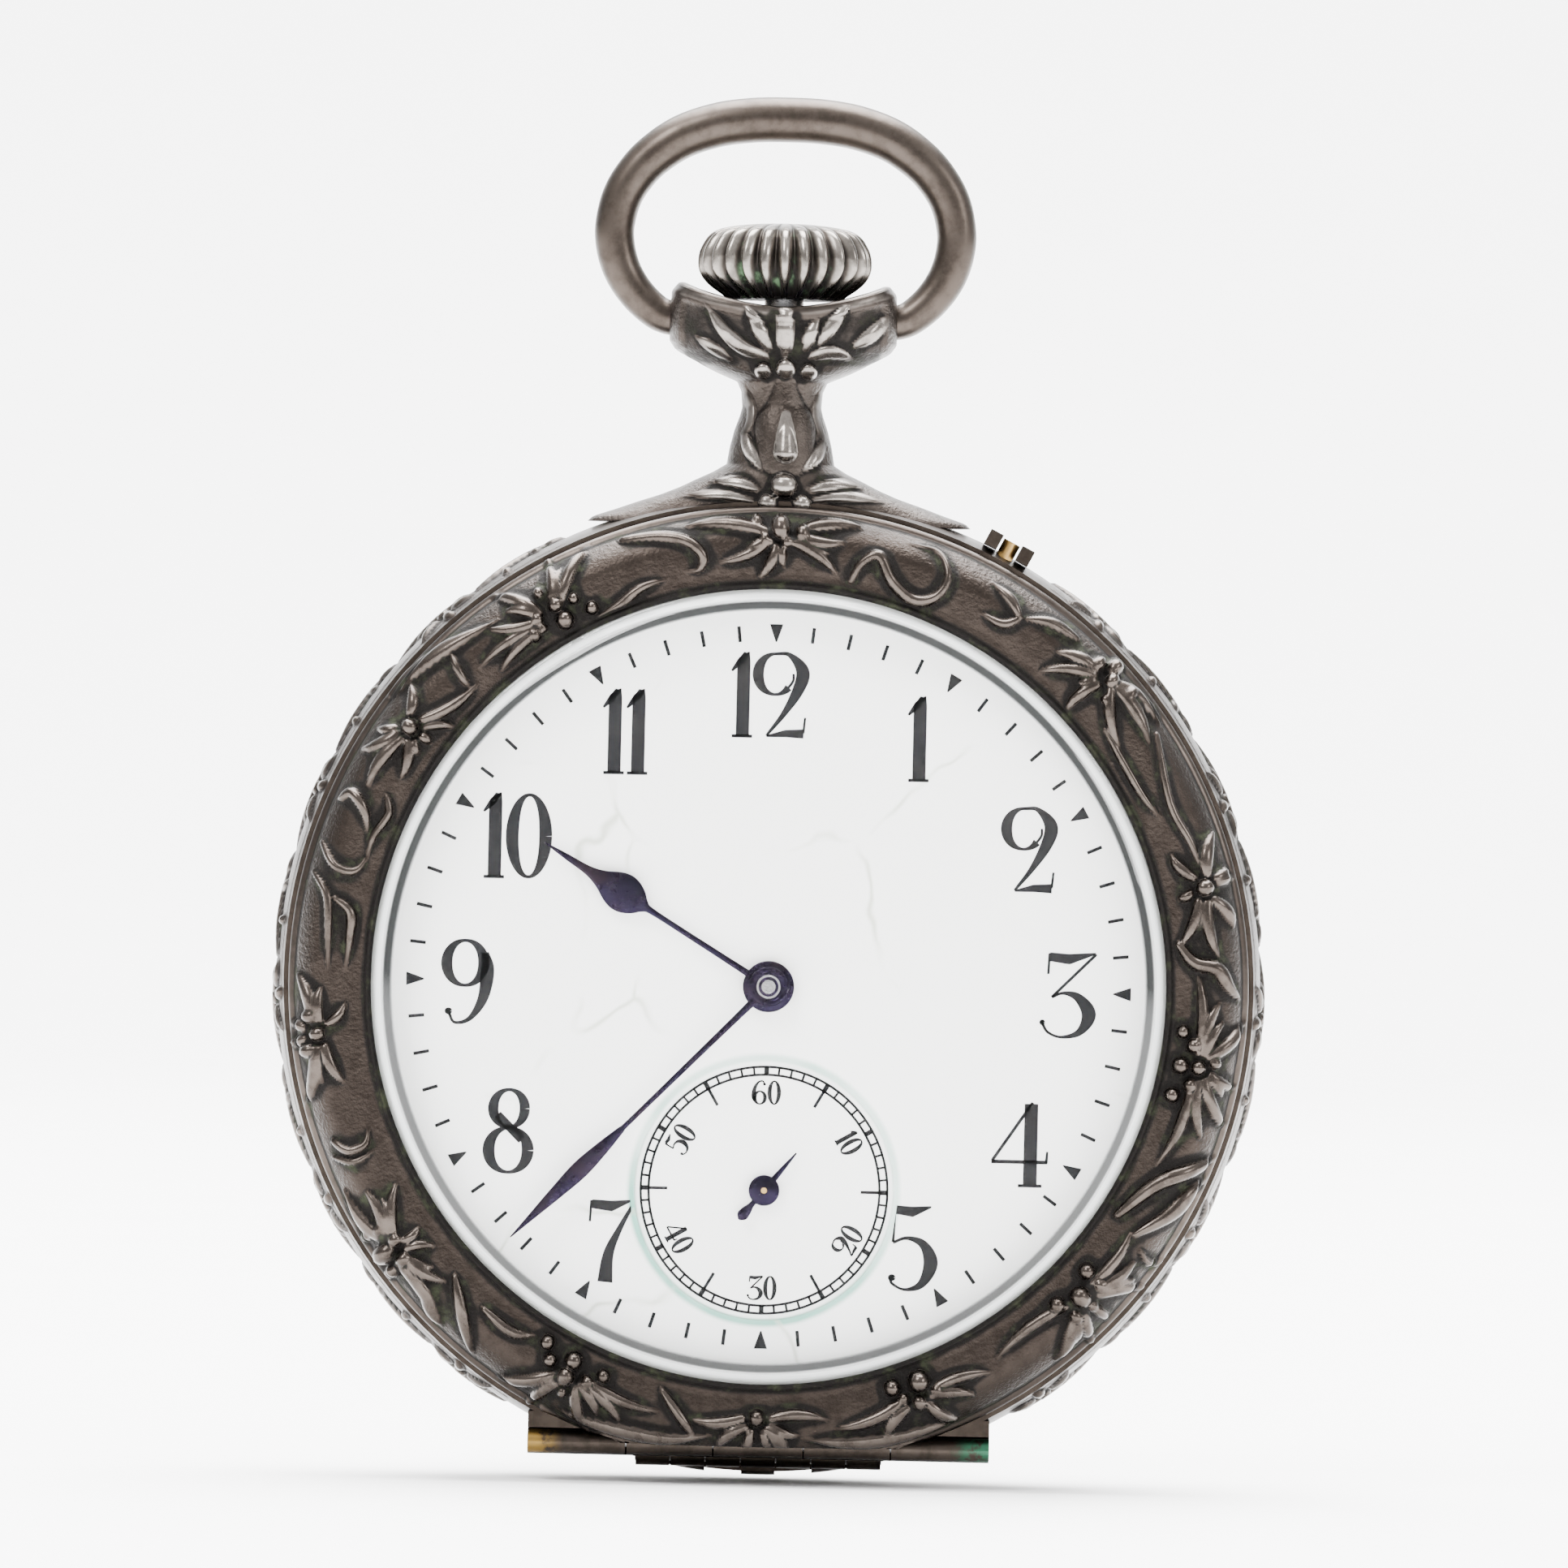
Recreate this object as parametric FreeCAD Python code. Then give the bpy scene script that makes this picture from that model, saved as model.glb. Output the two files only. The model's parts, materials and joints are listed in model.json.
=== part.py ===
"""Open-face pocket watch with a hinged bezel, a hinged back, a dust cover and a lever movement.

The watch is modelled lying on its back: X to the right of the dial, Y towards the crown at 12, Z out of
the dial, with the flat of the back cover at Z = 0 under the centre. Every piece is stood upright as it is
written, so that in the files X is right, Z is up towards the crown and the dial faces -Y.
All sizes are in millimetres.
"""
import FreeCAD, Part
import math
import os

from FreeCAD import Vector

# ---------------------------------------------------------------- movement: radii and levels
plate_radius = 20.7
flange_overhang = 0.8         # of the plate's flange beyond the plate
flange_radius = plate_radius + flange_overhang
plate_back = 8.0
plate_front = 9.3
bridge_back = 4.95
bridge_front = 5.65
bridge_inset = 0.3            # from the plate's edge to the edge of the bridges
bridge_split = 1.6            # the two bridges meet this far above the centre
bridge_gap = 0.25
bridge_screw_head = 0.85
bridge_screw_sink = 0.3       # of the heads' tops behind the bridges
bridge_screw_length = 3.2
winding_back = 4.45           # ratchet wheel and crown wheel
winding_front = 4.85
dial_back = 10.2
dial_front = 10.7
dial_radius = plate_radius - 0.1
seconds_dial_radius = 6.6
seconds_dial_drop = 0.3
motion_back = 9.38            # minute wheel and cannon pinion teeth
motion_mid = 9.62
motion_front = 9.9
drum_back, drum_front = 6.3, 7.85
balance_low, balance_high = 6.25, 6.85
roller_low, roller_high = 7.0, 7.2
fork_low, fork_high = 7.35, 7.6
escape_low, escape_high = 7.4, 7.6
pallet_bridge_back = 6.95
running_clearance = 0.05

# ---------------------------------------------------------------- case
case_clearance = 0.3          # round the plate, in the case
case_bore = plate_radius + case_clearance
case_hollow = case_bore + 0.8                 # wider hole behind the inner flange
dial_seat_radius = flange_radius + 0.1        # wider front part of the hole
flange_seat = 9.0             # height of the ledge under the movement's flange
flange_back = plate_back      # height of the rear face of the inner flange
bezel_boss_wall = 1.4
bezel_boss_radius = dial_seat_radius + bezel_boss_wall    # ring that the bezel snaps over
bezel_boss_height = 0.45
band_wall = 1.6               # of the band outside that ring
band_edge_radius = bezel_boss_radius + band_wall          # where it meets the back and the bezel
band_bulge = 0.4
case_radius = band_edge_radius + band_bulge               # widest part of the band
band_back = 4.3               # height of the band's rear face
band_front = 9.8              # height of the band's front face
snap_clearance = 0.1

bezel_radius = band_edge_radius - 0.25
bezel_opening = dial_radius - 0.5
bezel_rise = 2.75             # from the band to the top of the bezel
bezel_bead = 0.55             # height of the plain bead round its edge
crystal_radius = bezel_opening + 0.4
crystal_seat = band_front + 1.7               # height of the groove that holds the glass
crystal_edge = 0.5
crystal_bevel_radius = bezel_opening - 0.7
crystal_bevel_rise = 0.75
crystal_dome = 0.85
crystal_thickness = 0.75

back_radius = case_radius + 0.1
back_flat_radius = 15.0
back_wall = 0.6
back_rim_width = 1.7
back_rim_height = 1.1
back_gap = 0.1                # between the back cover and the band
cuvette_radius = back_radius - back_rim_width - 0.5
cuvette_thickness = 0.5
cuvette_sink = 0.35           # from the band's rear face to the dust cover
pole_flat = 0.6               # flat at the middle of each domed piece

# ---------------------------------------------------------------- hinges
front_knuckle_radius = 0.6
front_hinge_y = -(bezel_radius - 1.05)
front_hinge_half = 11.7
front_split_outer = 6.75      # where the case's outer knuckles end
front_split_inner = 2.25      # half-length of the case's middle knuckle
hinge_flat_y = front_hinge_y - front_knuckle_radius - 0.05    # the band is cut flat below the hinge
back_knuckle_radius = 0.5
back_hinge_y = -(back_radius - 0.9)
back_hinge_half = 6.3
back_knuckle_count = 7
hinge_pin_radius = 0.25
pin_clearance = 0.03
knuckle_gap = 0.08            # along the pin, and round the knuckles
lug_depth = 2 * front_knuckle_radius          # ledge of the band under the front hinge

# ---------------------------------------------------------------- pendant, bow and crown
stem_height = 7.1             # height of the stem's axis
stem_radius = 1.0
sleeve_wall = 0.5
sleeve_radius = stem_radius + running_clearance + sleeve_wall
pendant_root_y = case_radius - 1.8
pendant_depth = 2.55          # half-thickness of the shoulders
shoulder_half = 10.0
shoulder_y = case_radius - 1.3
shoulder_hollow = (4.6, case_radius + 0.1)    # a point on the shoulders' hollow curve
neck_base_y = case_radius + 1.8
neck_base_half = sleeve_radius + 1.05
neck_top_half = sleeve_radius + 0.55
collar_y = neck_base_y + 3.5
collar_half = sleeve_radius + 1.15
head_y = collar_y + 0.6
head_height = 4.9
head_top_y = head_y + head_height
head_dip = 1.2                # the head's top is lower in front and behind
head_half = 5.8
head_depth = 3.7              # half-thickness of the head from front to back

bow_pivot_y = head_y + 3.0
bow_centre_y = bow_pivot_y + 4.1
bow_half_width = 8.72         # to the middle of the wire
bow_half_height = 6.15
bow_side_centre = 3.6         # centres of the bow's two side arcs
bow_wire_radius = 1.08
bow_pivot_radius = 0.75
bow_pivot_length = 1.25
bow_clearance = 0.15          # between the bow's ends and the head

crown_base_y = head_top_y - 0.9
crown_base_radius = 3.0
crown_radius = 4.45
crown_widest = 2.4            # from the crown's base to its widest part
crown_shoulder = 3.4
crown_height = 3.85
crown_ribs = 26
crown_groove_radius = 0.3
crown_clearance = 0.3
crown_bore_depth = 2.2

push_angle = 27.5             # clockwise from 12
push_height = 8.6             # height of its axis
push_radius = 0.45
push_end = case_radius + 0.7  # its outer end, from the watch's centre
push_inner_end = plate_radius - 0.1
guard_end = case_radius + 0.8
guard_root = 1.2              # depth of the ears in the band's thickness
guard_thickness = 0.7
guard_gap = 1.1
guard_half_height = 0.9

# ---------------------------------------------------------------- teeth
tooth_share = 0.5             # of the pitch, at the root
tooth_top_share = 0.2
addendum = 0.9                # in modules
dedendum = 1.3
barrel_teeth, barrel_module = 80, 0.2
centre_pinion_leaves = 12
centre_teeth, centre_module = 80, 0.15
third_pinion_leaves = 10
third_teeth, third_module = 75, 0.125
fourth_pinion_leaves = 10
fourth_teeth, fourth_module = 80, 0.105
escape_pinion_leaves = 8
escape_teeth = 15
escape_radius = 3.0
cannon_leaves, minute_teeth, motion_module = 12, 36, 0.18
minute_pinion_leaves, hour_teeth = 10, 40
setting_teeth = 46
winding_pinion_teeth, crown_wheel_teeth, ratchet_teeth, winding_module = 14, 36, 42, 0.25
winding_pinion_width = 0.9
clutch_length = 2.0
clutch_radius = stem_radius + 0.85
clutch_travel = 1.05
crown_wheel_screw_head = 1.3
lever_half = 0.45             # half-width of the setting lever
lever_pivot_at = (14.5, 11.0)

# ---------------------------------------------------------------- movement layout
barrel_angle = 52.0           # of the barrel, anticlockwise from X
seconds_distance = 10.33      # of the fourth wheel below the centre
escape_angle = 165.0          # of the escape wheel as seen from the fourth wheel
pallet_angle = 150.0          # of the pallet arbor as seen from the escape wheel
balance_angle = 112.0         # of the balance as seen from the pallet arbor
pallet_distance = escape_radius + 0.5
balance_distance = 4.6
balance_radius = 7.0
balance_clearance = 0.5       # round the balance, in the bridges
impulse_radius = 0.75         # of the impulse pin from the balance's axis
stud_distance, stud_angle = 3.4, 75.0         # of the hairspring's stud from the balance's axis
cock_foot_x, cock_foot_y, cock_foot_radius = -17.0, 3.8, 2.0
arbor_radius = 0.35
pivot_radius = 0.15
jewel_radius = 0.6
jewel_thickness = 0.45
jewel_clearance = 0.03
barrel_arbor_radius = 0.8
barrel_core_radius = 1.3
drum_wall = 0.45
mainspring_thickness = 0.2
mainspring_turns = 9
hairspring_thickness = 0.07
hairspring_turns = 10
spiral_steps = 12             # straight steps in each turn of a coiled spring
case_screw_head = 1.4
case_screw_shank = 0.45

# ---------------------------------------------------------------- hands
hour_hand_height = 11.15
hour_hand_length = 13.5
hour_hand_angle = 301.5       # clockwise from 12, like the other hands
hour_hub_radius = 1.3
hour_tube_radius = 0.92
minute_hand_height = 11.6
minute_hand_length = 18.2
minute_hand_angle = 224.6
minute_hub_radius = 1.0
minute_tube_radius = 0.6
seconds_hand_height = 10.72
seconds_hand_length = 2.5
seconds_hand_tail = 1.9
seconds_hand_angle = 39.7
hand_thickness = 0.18


# ================================================================ helpers
def polar(radius, degrees):
    """Point at a distance and an angle, anticlockwise from X."""
    angle = math.radians(degrees)
    return (radius * math.cos(angle), radius * math.sin(angle))


def offset(start, radius, degrees):
    """Point at a distance and an angle from another point."""
    step = polar(radius, degrees)
    return (start[0] + step[0], start[1] + step[1])


def disc(at, radius, low, high):
    """Upright round disc or post between two heights."""
    return Part.makeCylinder(radius, high - low, Vector(at[0], at[1], low))


def ring(at, inner, outer, low, high):
    """Upright ring between two heights."""
    return disc(at, outer, low, high).cut(disc(at, inner, low, high))


def rod_x(y, z, start, end, radius):
    """Rod along X between two places."""
    return Part.makeCylinder(radius, end - start, Vector(start, y, z), Vector(1, 0, 0))


def rod_y(start, end, radius):
    """Rod along the stem's axis between two places."""
    return Part.makeCylinder(radius, end - start, Vector(0, start, stem_height), Vector(0, 1, 0))


def block(x0, x1, y0, y1, z0, z1):
    """Box between three pairs of limits."""
    return Part.makeBox(x1 - x0, y1 - y0, z1 - z0, Vector(x0, y0, z0))


def fuse(pieces):
    """One solid from several that touch or overlap."""
    return pieces[0].multiFuse(pieces[1:]).removeSplitter()


def cut(body, tools):
    """A body with every tool cut away."""
    for tool in tools:
        body = body.cut(tool)
    return body


def wire(steps):
    """Closed wire from points, where a pair of points is an arc through the first to the second."""
    edges = []
    here = Vector(*steps[0])
    for step in steps[1:] + steps[:1]:
        if isinstance(step[0], tuple):
            through, end = Vector(*step[0]), Vector(*step[1])
            edges.append(Part.Arc(here, through, end).toShape())
        else:
            end = Vector(*step)
            edges.append(Part.LineSegment(here, end).toShape())
        here = end
    return Part.Wire(edges)


def turned(steps, about_stem=False):
    """Solid of revolution from an outline of (radius, height) points, about Z or about the stem."""
    def place(point):
        if about_stem:
            return (point[0], point[1], stem_height)
        return (point[0], 0.0, point[1])

    placed = [tuple(place(p) for p in s) if isinstance(s[0], tuple) else place(s) for s in steps]
    face = Part.Face(wire(placed))
    if about_stem:
        return face.revolve(Vector(0, 0, stem_height), Vector(0, 1, 0), 360)
    return face.revolve(Vector(0, 0, 0), Vector(0, 0, 1), 360)


def prism(points, low, high):
    """Upright prism on a closed outline of (x, y) points."""
    corners = [Vector(x, y, low) for x, y in points]
    face = Part.Face(Part.makePolygon(corners + corners[:1]))
    return face.extrude(Vector(0, 0, high - low))


def bar(start, end, start_half, end_half, low, high):
    """Straight bar between two points, tapering from one half-width to the other."""
    length = math.hypot(end[0] - start[0], end[1] - start[1])
    across = ((start[1] - end[1]) / length, (end[0] - start[0]) / length)
    corners = [
        (start[0] + across[0] * start_half, start[1] + across[1] * start_half),
        (end[0] + across[0] * end_half, end[1] + across[1] * end_half),
        (end[0] - across[0] * end_half, end[1] - across[1] * end_half),
        (start[0] - across[0] * start_half, start[1] - across[1] * start_half),
    ]
    return prism(corners, low, high)


def turn(shape, at, degrees):
    """Shape turned anticlockwise about an upright axis."""
    turned_shape = shape.copy()
    turned_shape.rotate(Vector(at[0], at[1], 0), Vector(0, 0, 1), degrees)
    return turned_shape


def save(name, shape):
    """Stand a piece upright and write it to its own file."""
    upright = shape.copy()
    upright.rotate(Vector(0, 0, 0), Vector(1, 0, 0), 90)
    solids = upright.Solids
    written = solids[0] if len(solids) == 1 else Part.makeCompound(solids)
    written.exportStep(os.path.join("parts", name + ".step"))


# ================================================================ teeth
def gear_outline(at, teeth, module, phase):
    """Toothed outline: four points a tooth, with one tooth's middle at the phase angle in degrees."""
    pitch = 360.0 / teeth
    outer = module * (teeth / 2 + addendum)
    root = module * (teeth / 2 - dedendum)
    points = []
    for tooth in range(teeth):
        middle = phase + tooth * pitch
        for radius, share in ((root, -tooth_share), (outer, -tooth_top_share),
                              (outer, tooth_top_share), (root, tooth_share)):
            points.append(offset(at, radius, middle + share * pitch / 2))
    return points


def gear(at, teeth, module, phase, low, high):
    """Solid toothed disc."""
    return prism(gear_outline(at, teeth, module, phase), low, high)


def meshed(phase, teeth, direction, other_teeth):
    """Phase of the gear that lies in a direction and meshes with a gear of a known phase."""
    lead = phase - direction
    return direction + 180 - lead * teeth / other_teeth + 180.0 / other_teeth


def spoked(body, at, hub, rim, arms, low, high):
    """Toothed disc with windows cut between a hub, a rim and straight arms."""
    arm_half = 0.11 * rim
    window = ring(at, hub, rim, low - 0.1, high + 0.1)
    for arm in range(arms):
        end = offset(at, rim + 1, arm * 360.0 / arms)
        window = window.cut(bar(at, end, arm_half, arm_half * 0.7, low - 0.2, high + 0.2))
    return body.cut(window)


def angle_of(start, end):
    """Direction from one point to another, in degrees anticlockwise from X."""
    return math.degrees(math.atan2(end[1] - start[1], end[0] - start[0]))


# ================================================================ where the wheels stand
centre = (0.0, 0.0)
barrel_at = polar(barrel_module * (barrel_teeth + centre_pinion_leaves) / 2, barrel_angle)
fourth_at = (0.0, -seconds_distance)
centre_to_third = centre_module * (centre_teeth + third_pinion_leaves) / 2
third_to_fourth = third_module * (third_teeth + fourth_pinion_leaves) / 2
third_drop = (centre_to_third ** 2 - third_to_fourth ** 2 + seconds_distance ** 2) / (2 * seconds_distance)
third_at = (math.sqrt(centre_to_third ** 2 - third_drop ** 2), -third_drop)
escape_at = offset(fourth_at, fourth_module * (fourth_teeth + escape_pinion_leaves) / 2, escape_angle)
pallet_at = offset(escape_at, pallet_distance, pallet_angle)
balance_at = offset(pallet_at, balance_distance, balance_angle)
minute_distance = motion_module * (cannon_leaves + minute_teeth) / 2
minute_at = polar(minute_distance, 80)
setting_distance = motion_module * (minute_teeth + setting_teeth) / 2
setting_at = (0.0, minute_at[1] + math.sqrt(setting_distance ** 2 - minute_at[0] ** 2))
winding_distance = winding_module * (crown_wheel_teeth + ratchet_teeth) / 2
crown_wheel_at = (0.0, barrel_at[1] + math.sqrt(winding_distance ** 2 - barrel_at[0] ** 2))
crown_wheel_radius = winding_module * crown_wheel_teeth / 2
winding_pinion_y = crown_wheel_at[1] + crown_wheel_radius
clutch_inner_end = winding_pinion_y - winding_pinion_width / 2 - 0.1 - clutch_length

# phases: the angle of the middle of one tooth of each gear, so that all are in mesh at rest
centre_pinion_phase = 0.0
barrel_phase = meshed(centre_pinion_phase, centre_pinion_leaves, angle_of(centre, barrel_at), barrel_teeth)
centre_phase = 0.0
third_pinion_phase = meshed(centre_phase, centre_teeth, angle_of(centre, third_at), third_pinion_leaves)
third_phase = 0.0
fourth_pinion_phase = meshed(third_phase, third_teeth, angle_of(third_at, fourth_at), fourth_pinion_leaves)
fourth_phase = 0.0
escape_pinion_phase = meshed(fourth_phase, fourth_teeth, angle_of(fourth_at, escape_at),
                             escape_pinion_leaves)
cannon_phase = 0.0
minute_phase = meshed(cannon_phase, cannon_leaves, angle_of(centre, minute_at), minute_teeth)
minute_pinion_phase = 0.0
hour_phase = meshed(minute_pinion_phase, minute_pinion_leaves, angle_of(minute_at, centre), hour_teeth)
setting_phase = meshed(minute_phase, minute_teeth, angle_of(minute_at, setting_at), setting_teeth)
crown_wheel_phase = 90.0
ratchet_phase = meshed(crown_wheel_phase, crown_wheel_teeth, angle_of(crown_wheel_at, barrel_at),
                       ratchet_teeth)


# ================================================================ case
def front_hinge_rod(start, end, radius):
    """Rod on the axis of the bezel's hinge."""
    return rod_x(front_hinge_y, band_front, start, end, radius)


def back_hinge_rod(start, end, radius):
    """Rod on the axis that the back cover and the dust cover share."""
    return rod_x(back_hinge_y, band_back, start, end, radius)


front_case_spans = [(-front_hinge_half, -front_split_outer), (-front_split_inner, front_split_inner),
                    (front_split_outer, front_hinge_half)]
front_bezel_spans = [(-front_split_outer + knuckle_gap, -front_split_inner - knuckle_gap),
                     (front_split_inner + knuckle_gap, front_split_outer - knuckle_gap)]
# the back hinge has seven knuckles: case, cover, dust cover, case, dust cover, cover, case
back_step = 2 * back_hinge_half / back_knuckle_count


def back_span(index):
    """Span of one of the back hinge's seven knuckles."""
    start = -back_hinge_half + index * back_step
    return (start + knuckle_gap / 2, start + back_step - knuckle_gap / 2)


back_case_spans = [back_span(0), back_span(3), back_span(6)]
back_cover_spans = [back_span(1), back_span(5)]
cuvette_spans = [back_span(2), back_span(4)]


def knuckles(rod, spans, radius):
    """Row of hinge tubes on one axis, each bored for the pin."""
    bore = hinge_pin_radius + pin_clearance
    return Part.makeCompound([rod(a, b, radius).cut(rod(a, b, bore)) for a, b in spans])


def pendant_hole(extra=0.0):
    """Space that the pendant's root fills in the band."""
    return rod_y(case_bore - 1, case_radius + 3, sleeve_radius + extra)


def push_rod(start, end, radius):
    """Rod on the axis of the push piece, between two distances from the centre."""
    angle = math.radians(push_angle)
    along = Vector(math.sin(angle), math.cos(angle), 0)
    return Part.makeCylinder(radius, end - start, along * start + Vector(0, 0, push_height), along)


def make_case_middle():
    """Band of the case, with its seat for the bezel, its hinge ledge and its bores."""
    middle = (band_back + band_front) / 2
    band = turned([
        (case_bore, flange_back), (case_hollow, flange_back), (case_hollow, band_back),
        (band_edge_radius, band_back),
        ((case_radius, middle), (band_edge_radius, band_front)),
        (bezel_boss_radius, band_front), (bezel_boss_radius, band_front + bezel_boss_height),
        (dial_seat_radius, band_front + bezel_boss_height), (dial_seat_radius, flange_seat),
        (case_bore, flange_seat),
    ])
    below = block(-case_radius, case_radius, -case_radius - 2, hinge_flat_y, 0, band_front + 2)
    ledge = block(-front_hinge_half, front_hinge_half, hinge_flat_y, -case_bore - 0.8,
                  band_front - lug_depth, band_front)
    inside = disc(centre, bezel_boss_radius - 0.5, 0, band_front + 2)
    band = band.cut(below).fuse(ledge.cut(inside)).removeSplitter()
    front_room, back_room = front_knuckle_radius + knuckle_gap, back_knuckle_radius + knuckle_gap
    tools = [front_hinge_rod(-front_hinge_half - 1, front_hinge_half + 1, front_room),
             back_hinge_rod(-back_hinge_half - 0.2, back_hinge_half + 0.2, back_room)]
    tools += [pendant_hole(), push_rod(push_inner_end - 2, case_radius + 2, push_radius + running_clearance)]
    return cut(band, tools)


def make_bezel():
    """Domed bezel with a bead round its edge and a groove for the glass."""
    top = band_front + bezel_rise
    outer_slope = (bezel_radius - 0.55, band_front + bezel_bead + 0.9)
    body = turned([
        (bezel_boss_radius + snap_clearance, band_front + 0.05), (bezel_radius, band_front + 0.05),
        (bezel_radius, band_front + bezel_bead), (bezel_radius - 0.25, band_front + bezel_bead + 0.2),
        (outer_slope, (bezel_radius - 1.75, top - 0.15)),
        ((bezel_radius - 2.6, top), (bezel_opening + 0.5, top - 0.25)),
        (bezel_opening, top - 0.55), (bezel_opening, crystal_seat + crystal_edge + 0.02),
        (crystal_radius + 0.03, crystal_seat + crystal_edge + 0.02),
        (crystal_radius + 0.03, crystal_seat - 0.02), (bezel_opening + 0.1, crystal_seat - 0.02),
        (bezel_opening + 0.1, crystal_seat - 0.4),
        (dial_seat_radius, band_front + bezel_boss_height + 0.35),
        (bezel_boss_radius + snap_clearance, band_front + bezel_boss_height + 0.35),
    ])
    beyond = block(-case_radius, case_radius, -case_radius - 2, front_hinge_y, 0, top + 2)
    groove = front_hinge_rod(-front_hinge_half - 1, front_hinge_half + 1, front_knuckle_radius + knuckle_gap)
    return cut(body, [beyond, groove])


def make_crystal():
    """Glass with a flat bevelled edge and a shallow dome."""
    top = crystal_seat + crystal_edge + crystal_bevel_rise
    crown = top + crystal_dome
    inner_edge = crystal_bevel_radius - 0.4
    half = crystal_bevel_radius / 2
    return turned([
        (0.0, crown - crystal_thickness), (pole_flat, crown - crystal_thickness),
        ((half, crown - crystal_thickness - crystal_dome / 4), (inner_edge, top - crystal_thickness)),
        (crystal_bevel_radius + 0.35, crystal_seat), (crystal_radius, crystal_seat),
        (crystal_radius, crystal_seat + crystal_edge), (bezel_opening - 0.1, crystal_seat + crystal_edge),
        (crystal_bevel_radius, top), ((half, crown - crystal_dome / 4), (pole_flat, crown)), (0.0, crown),
    ])


def hinge_notches(rod, spans, radius):
    """Room round the knuckles that belong to another piece."""
    return [rod(a - knuckle_gap, b + knuckle_gap, radius + knuckle_gap) for a, b in spans]


def make_back_cover():
    """Shallow back shell with a flat middle and a stiff rim."""
    rim_top = band_back - back_gap
    rim_low = rim_top - back_rim_height
    rim_in = back_radius - back_rim_width
    mid = (back_flat_radius + back_radius) / 2 + 1.2
    shell = turned([
        (0.0, 0.0), (back_flat_radius, 0.0), ((mid, 0.95), (back_radius - 0.35, rim_low + 0.1)),
        ((back_radius, rim_low + 0.6), (back_radius - 0.2, rim_top)),
        (rim_in, rim_top), (rim_in, rim_low),
        ((mid - 0.4, 0.95 + back_wall), (back_flat_radius - 0.1, back_wall)), (0.0, back_wall),
    ])
    tools = [back_hinge_rod(-back_hinge_half - 0.3, back_hinge_half + 0.3, back_knuckle_radius + 0.02)]
    tab_low = band_back - cuvette_sink - cuvette_thickness - snap_clearance
    for a, b in cuvette_spans:
        tools.append(block(a - knuckle_gap, b + knuckle_gap, back_hinge_y - 1, -rim_in + 0.4,
                           tab_low, rim_top + 1))
    return cut(shell, tools)


def make_cuvette():
    """Inner dust cover: a thin disc with two tabs that reach its knuckles."""
    top = band_back - cuvette_sink
    low = top - cuvette_thickness
    plate = disc(centre, cuvette_radius, low, top)
    tabs = [block(a, b, back_hinge_y, -cuvette_radius + 1, low, top) for a, b in cuvette_spans]
    plate = fuse([plate] + tabs)
    room = [back_hinge_rod(-back_hinge_half - 0.3, back_hinge_half + 0.3, back_knuckle_radius + 0.02)]
    return cut(plate, room)


def ellipse(y, half_width, half_depth):
    """Ellipse across the stem's axis."""
    here = Vector(0, y, stem_height)
    if half_width == half_depth:
        return Part.Wire([Part.makeCircle(half_width, here, Vector(0, 1, 0))])
    curve = Part.Ellipse(here + Vector(half_width, 0, 0), here + Vector(0, 0, -half_depth), here)
    return Part.Wire([curve.toShape()])


def make_pendant():
    """Shoulders, neck and head that carry the bow and the crown."""
    foot = [
        (-shoulder_half, pendant_root_y - 2.5, 0), (-shoulder_half, shoulder_y - 0.6, 0),
        ((-shoulder_hollow[0], shoulder_hollow[1], 0), (-neck_base_half, neck_base_y, 0)),
        (neck_base_half, neck_base_y, 0),
        ((shoulder_hollow[0], shoulder_hollow[1], 0), (shoulder_half, shoulder_y - 0.6, 0)),
        (shoulder_half, pendant_root_y - 2.5, 0),
    ]
    shoulders = Part.Face(wire(foot)).extrude(Vector(0, 0, 2 * pendant_depth))
    shoulders.translate(Vector(0, 0, stem_height - pendant_depth))
    shoulders = shoulders.cut(disc(centre, case_radius + 0.02, 0, band_front + 5))
    neck = Part.makeCone(neck_base_half, neck_top_half, collar_y - neck_base_y + 1.5,
                         Vector(0, neck_base_y - 1.5, stem_height), Vector(0, 1, 0))
    collar = rod_y(collar_y - 0.3, head_y + 0.1, collar_half)
    head = Part.makeLoft([
        ellipse(head_y, collar_half, collar_half),
        ellipse(head_y + 1.3, head_half - 1.0, head_depth - 0.3),
        ellipse(head_y + 3.0, head_half, head_depth),
        ellipse(head_top_y, head_half, head_depth - 0.2),
    ], True, False)
    saddle_radius = (head_half ** 2 + head_dip ** 2) / (2 * head_dip)
    saddle = Part.makeCylinder(saddle_radius, 20, Vector(0, head_top_y - head_dip + saddle_radius, 0))
    body = fuse([shoulders, neck, collar, head.cut(saddle)])
    room = crown_profile(crown_clearance)
    hole_radius = bow_pivot_radius + running_clearance
    holes = rod_x(bow_pivot_y, stem_height, -head_half - 1, head_half + 1, hole_radius)
    return cut(body, [room, holes, rod_y(case_bore, head_top_y, sleeve_radius)])


def crown_profile(grow=0.0):
    """Plain onion form of the crown, grown all round for the recess that it turns in."""
    shoulder = crown_base_y + crown_shoulder
    crown_top_y = crown_base_y + crown_height
    return turned([
        (0.0, crown_base_y - grow), (crown_base_radius + grow, crown_base_y - grow),
        ((crown_radius - 0.35 + grow, crown_base_y + crown_widest / 2),
         (crown_radius + grow, crown_base_y + crown_widest)),
        ((crown_radius - 0.35 + grow, shoulder - 0.3), (crown_radius - 1.5 + grow, shoulder + grow)),
        ((crown_radius / 3, crown_top_y - 0.06 + grow), (pole_flat, crown_top_y + grow)),
        (0.0, crown_top_y + grow),
    ], about_stem=True)


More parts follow.
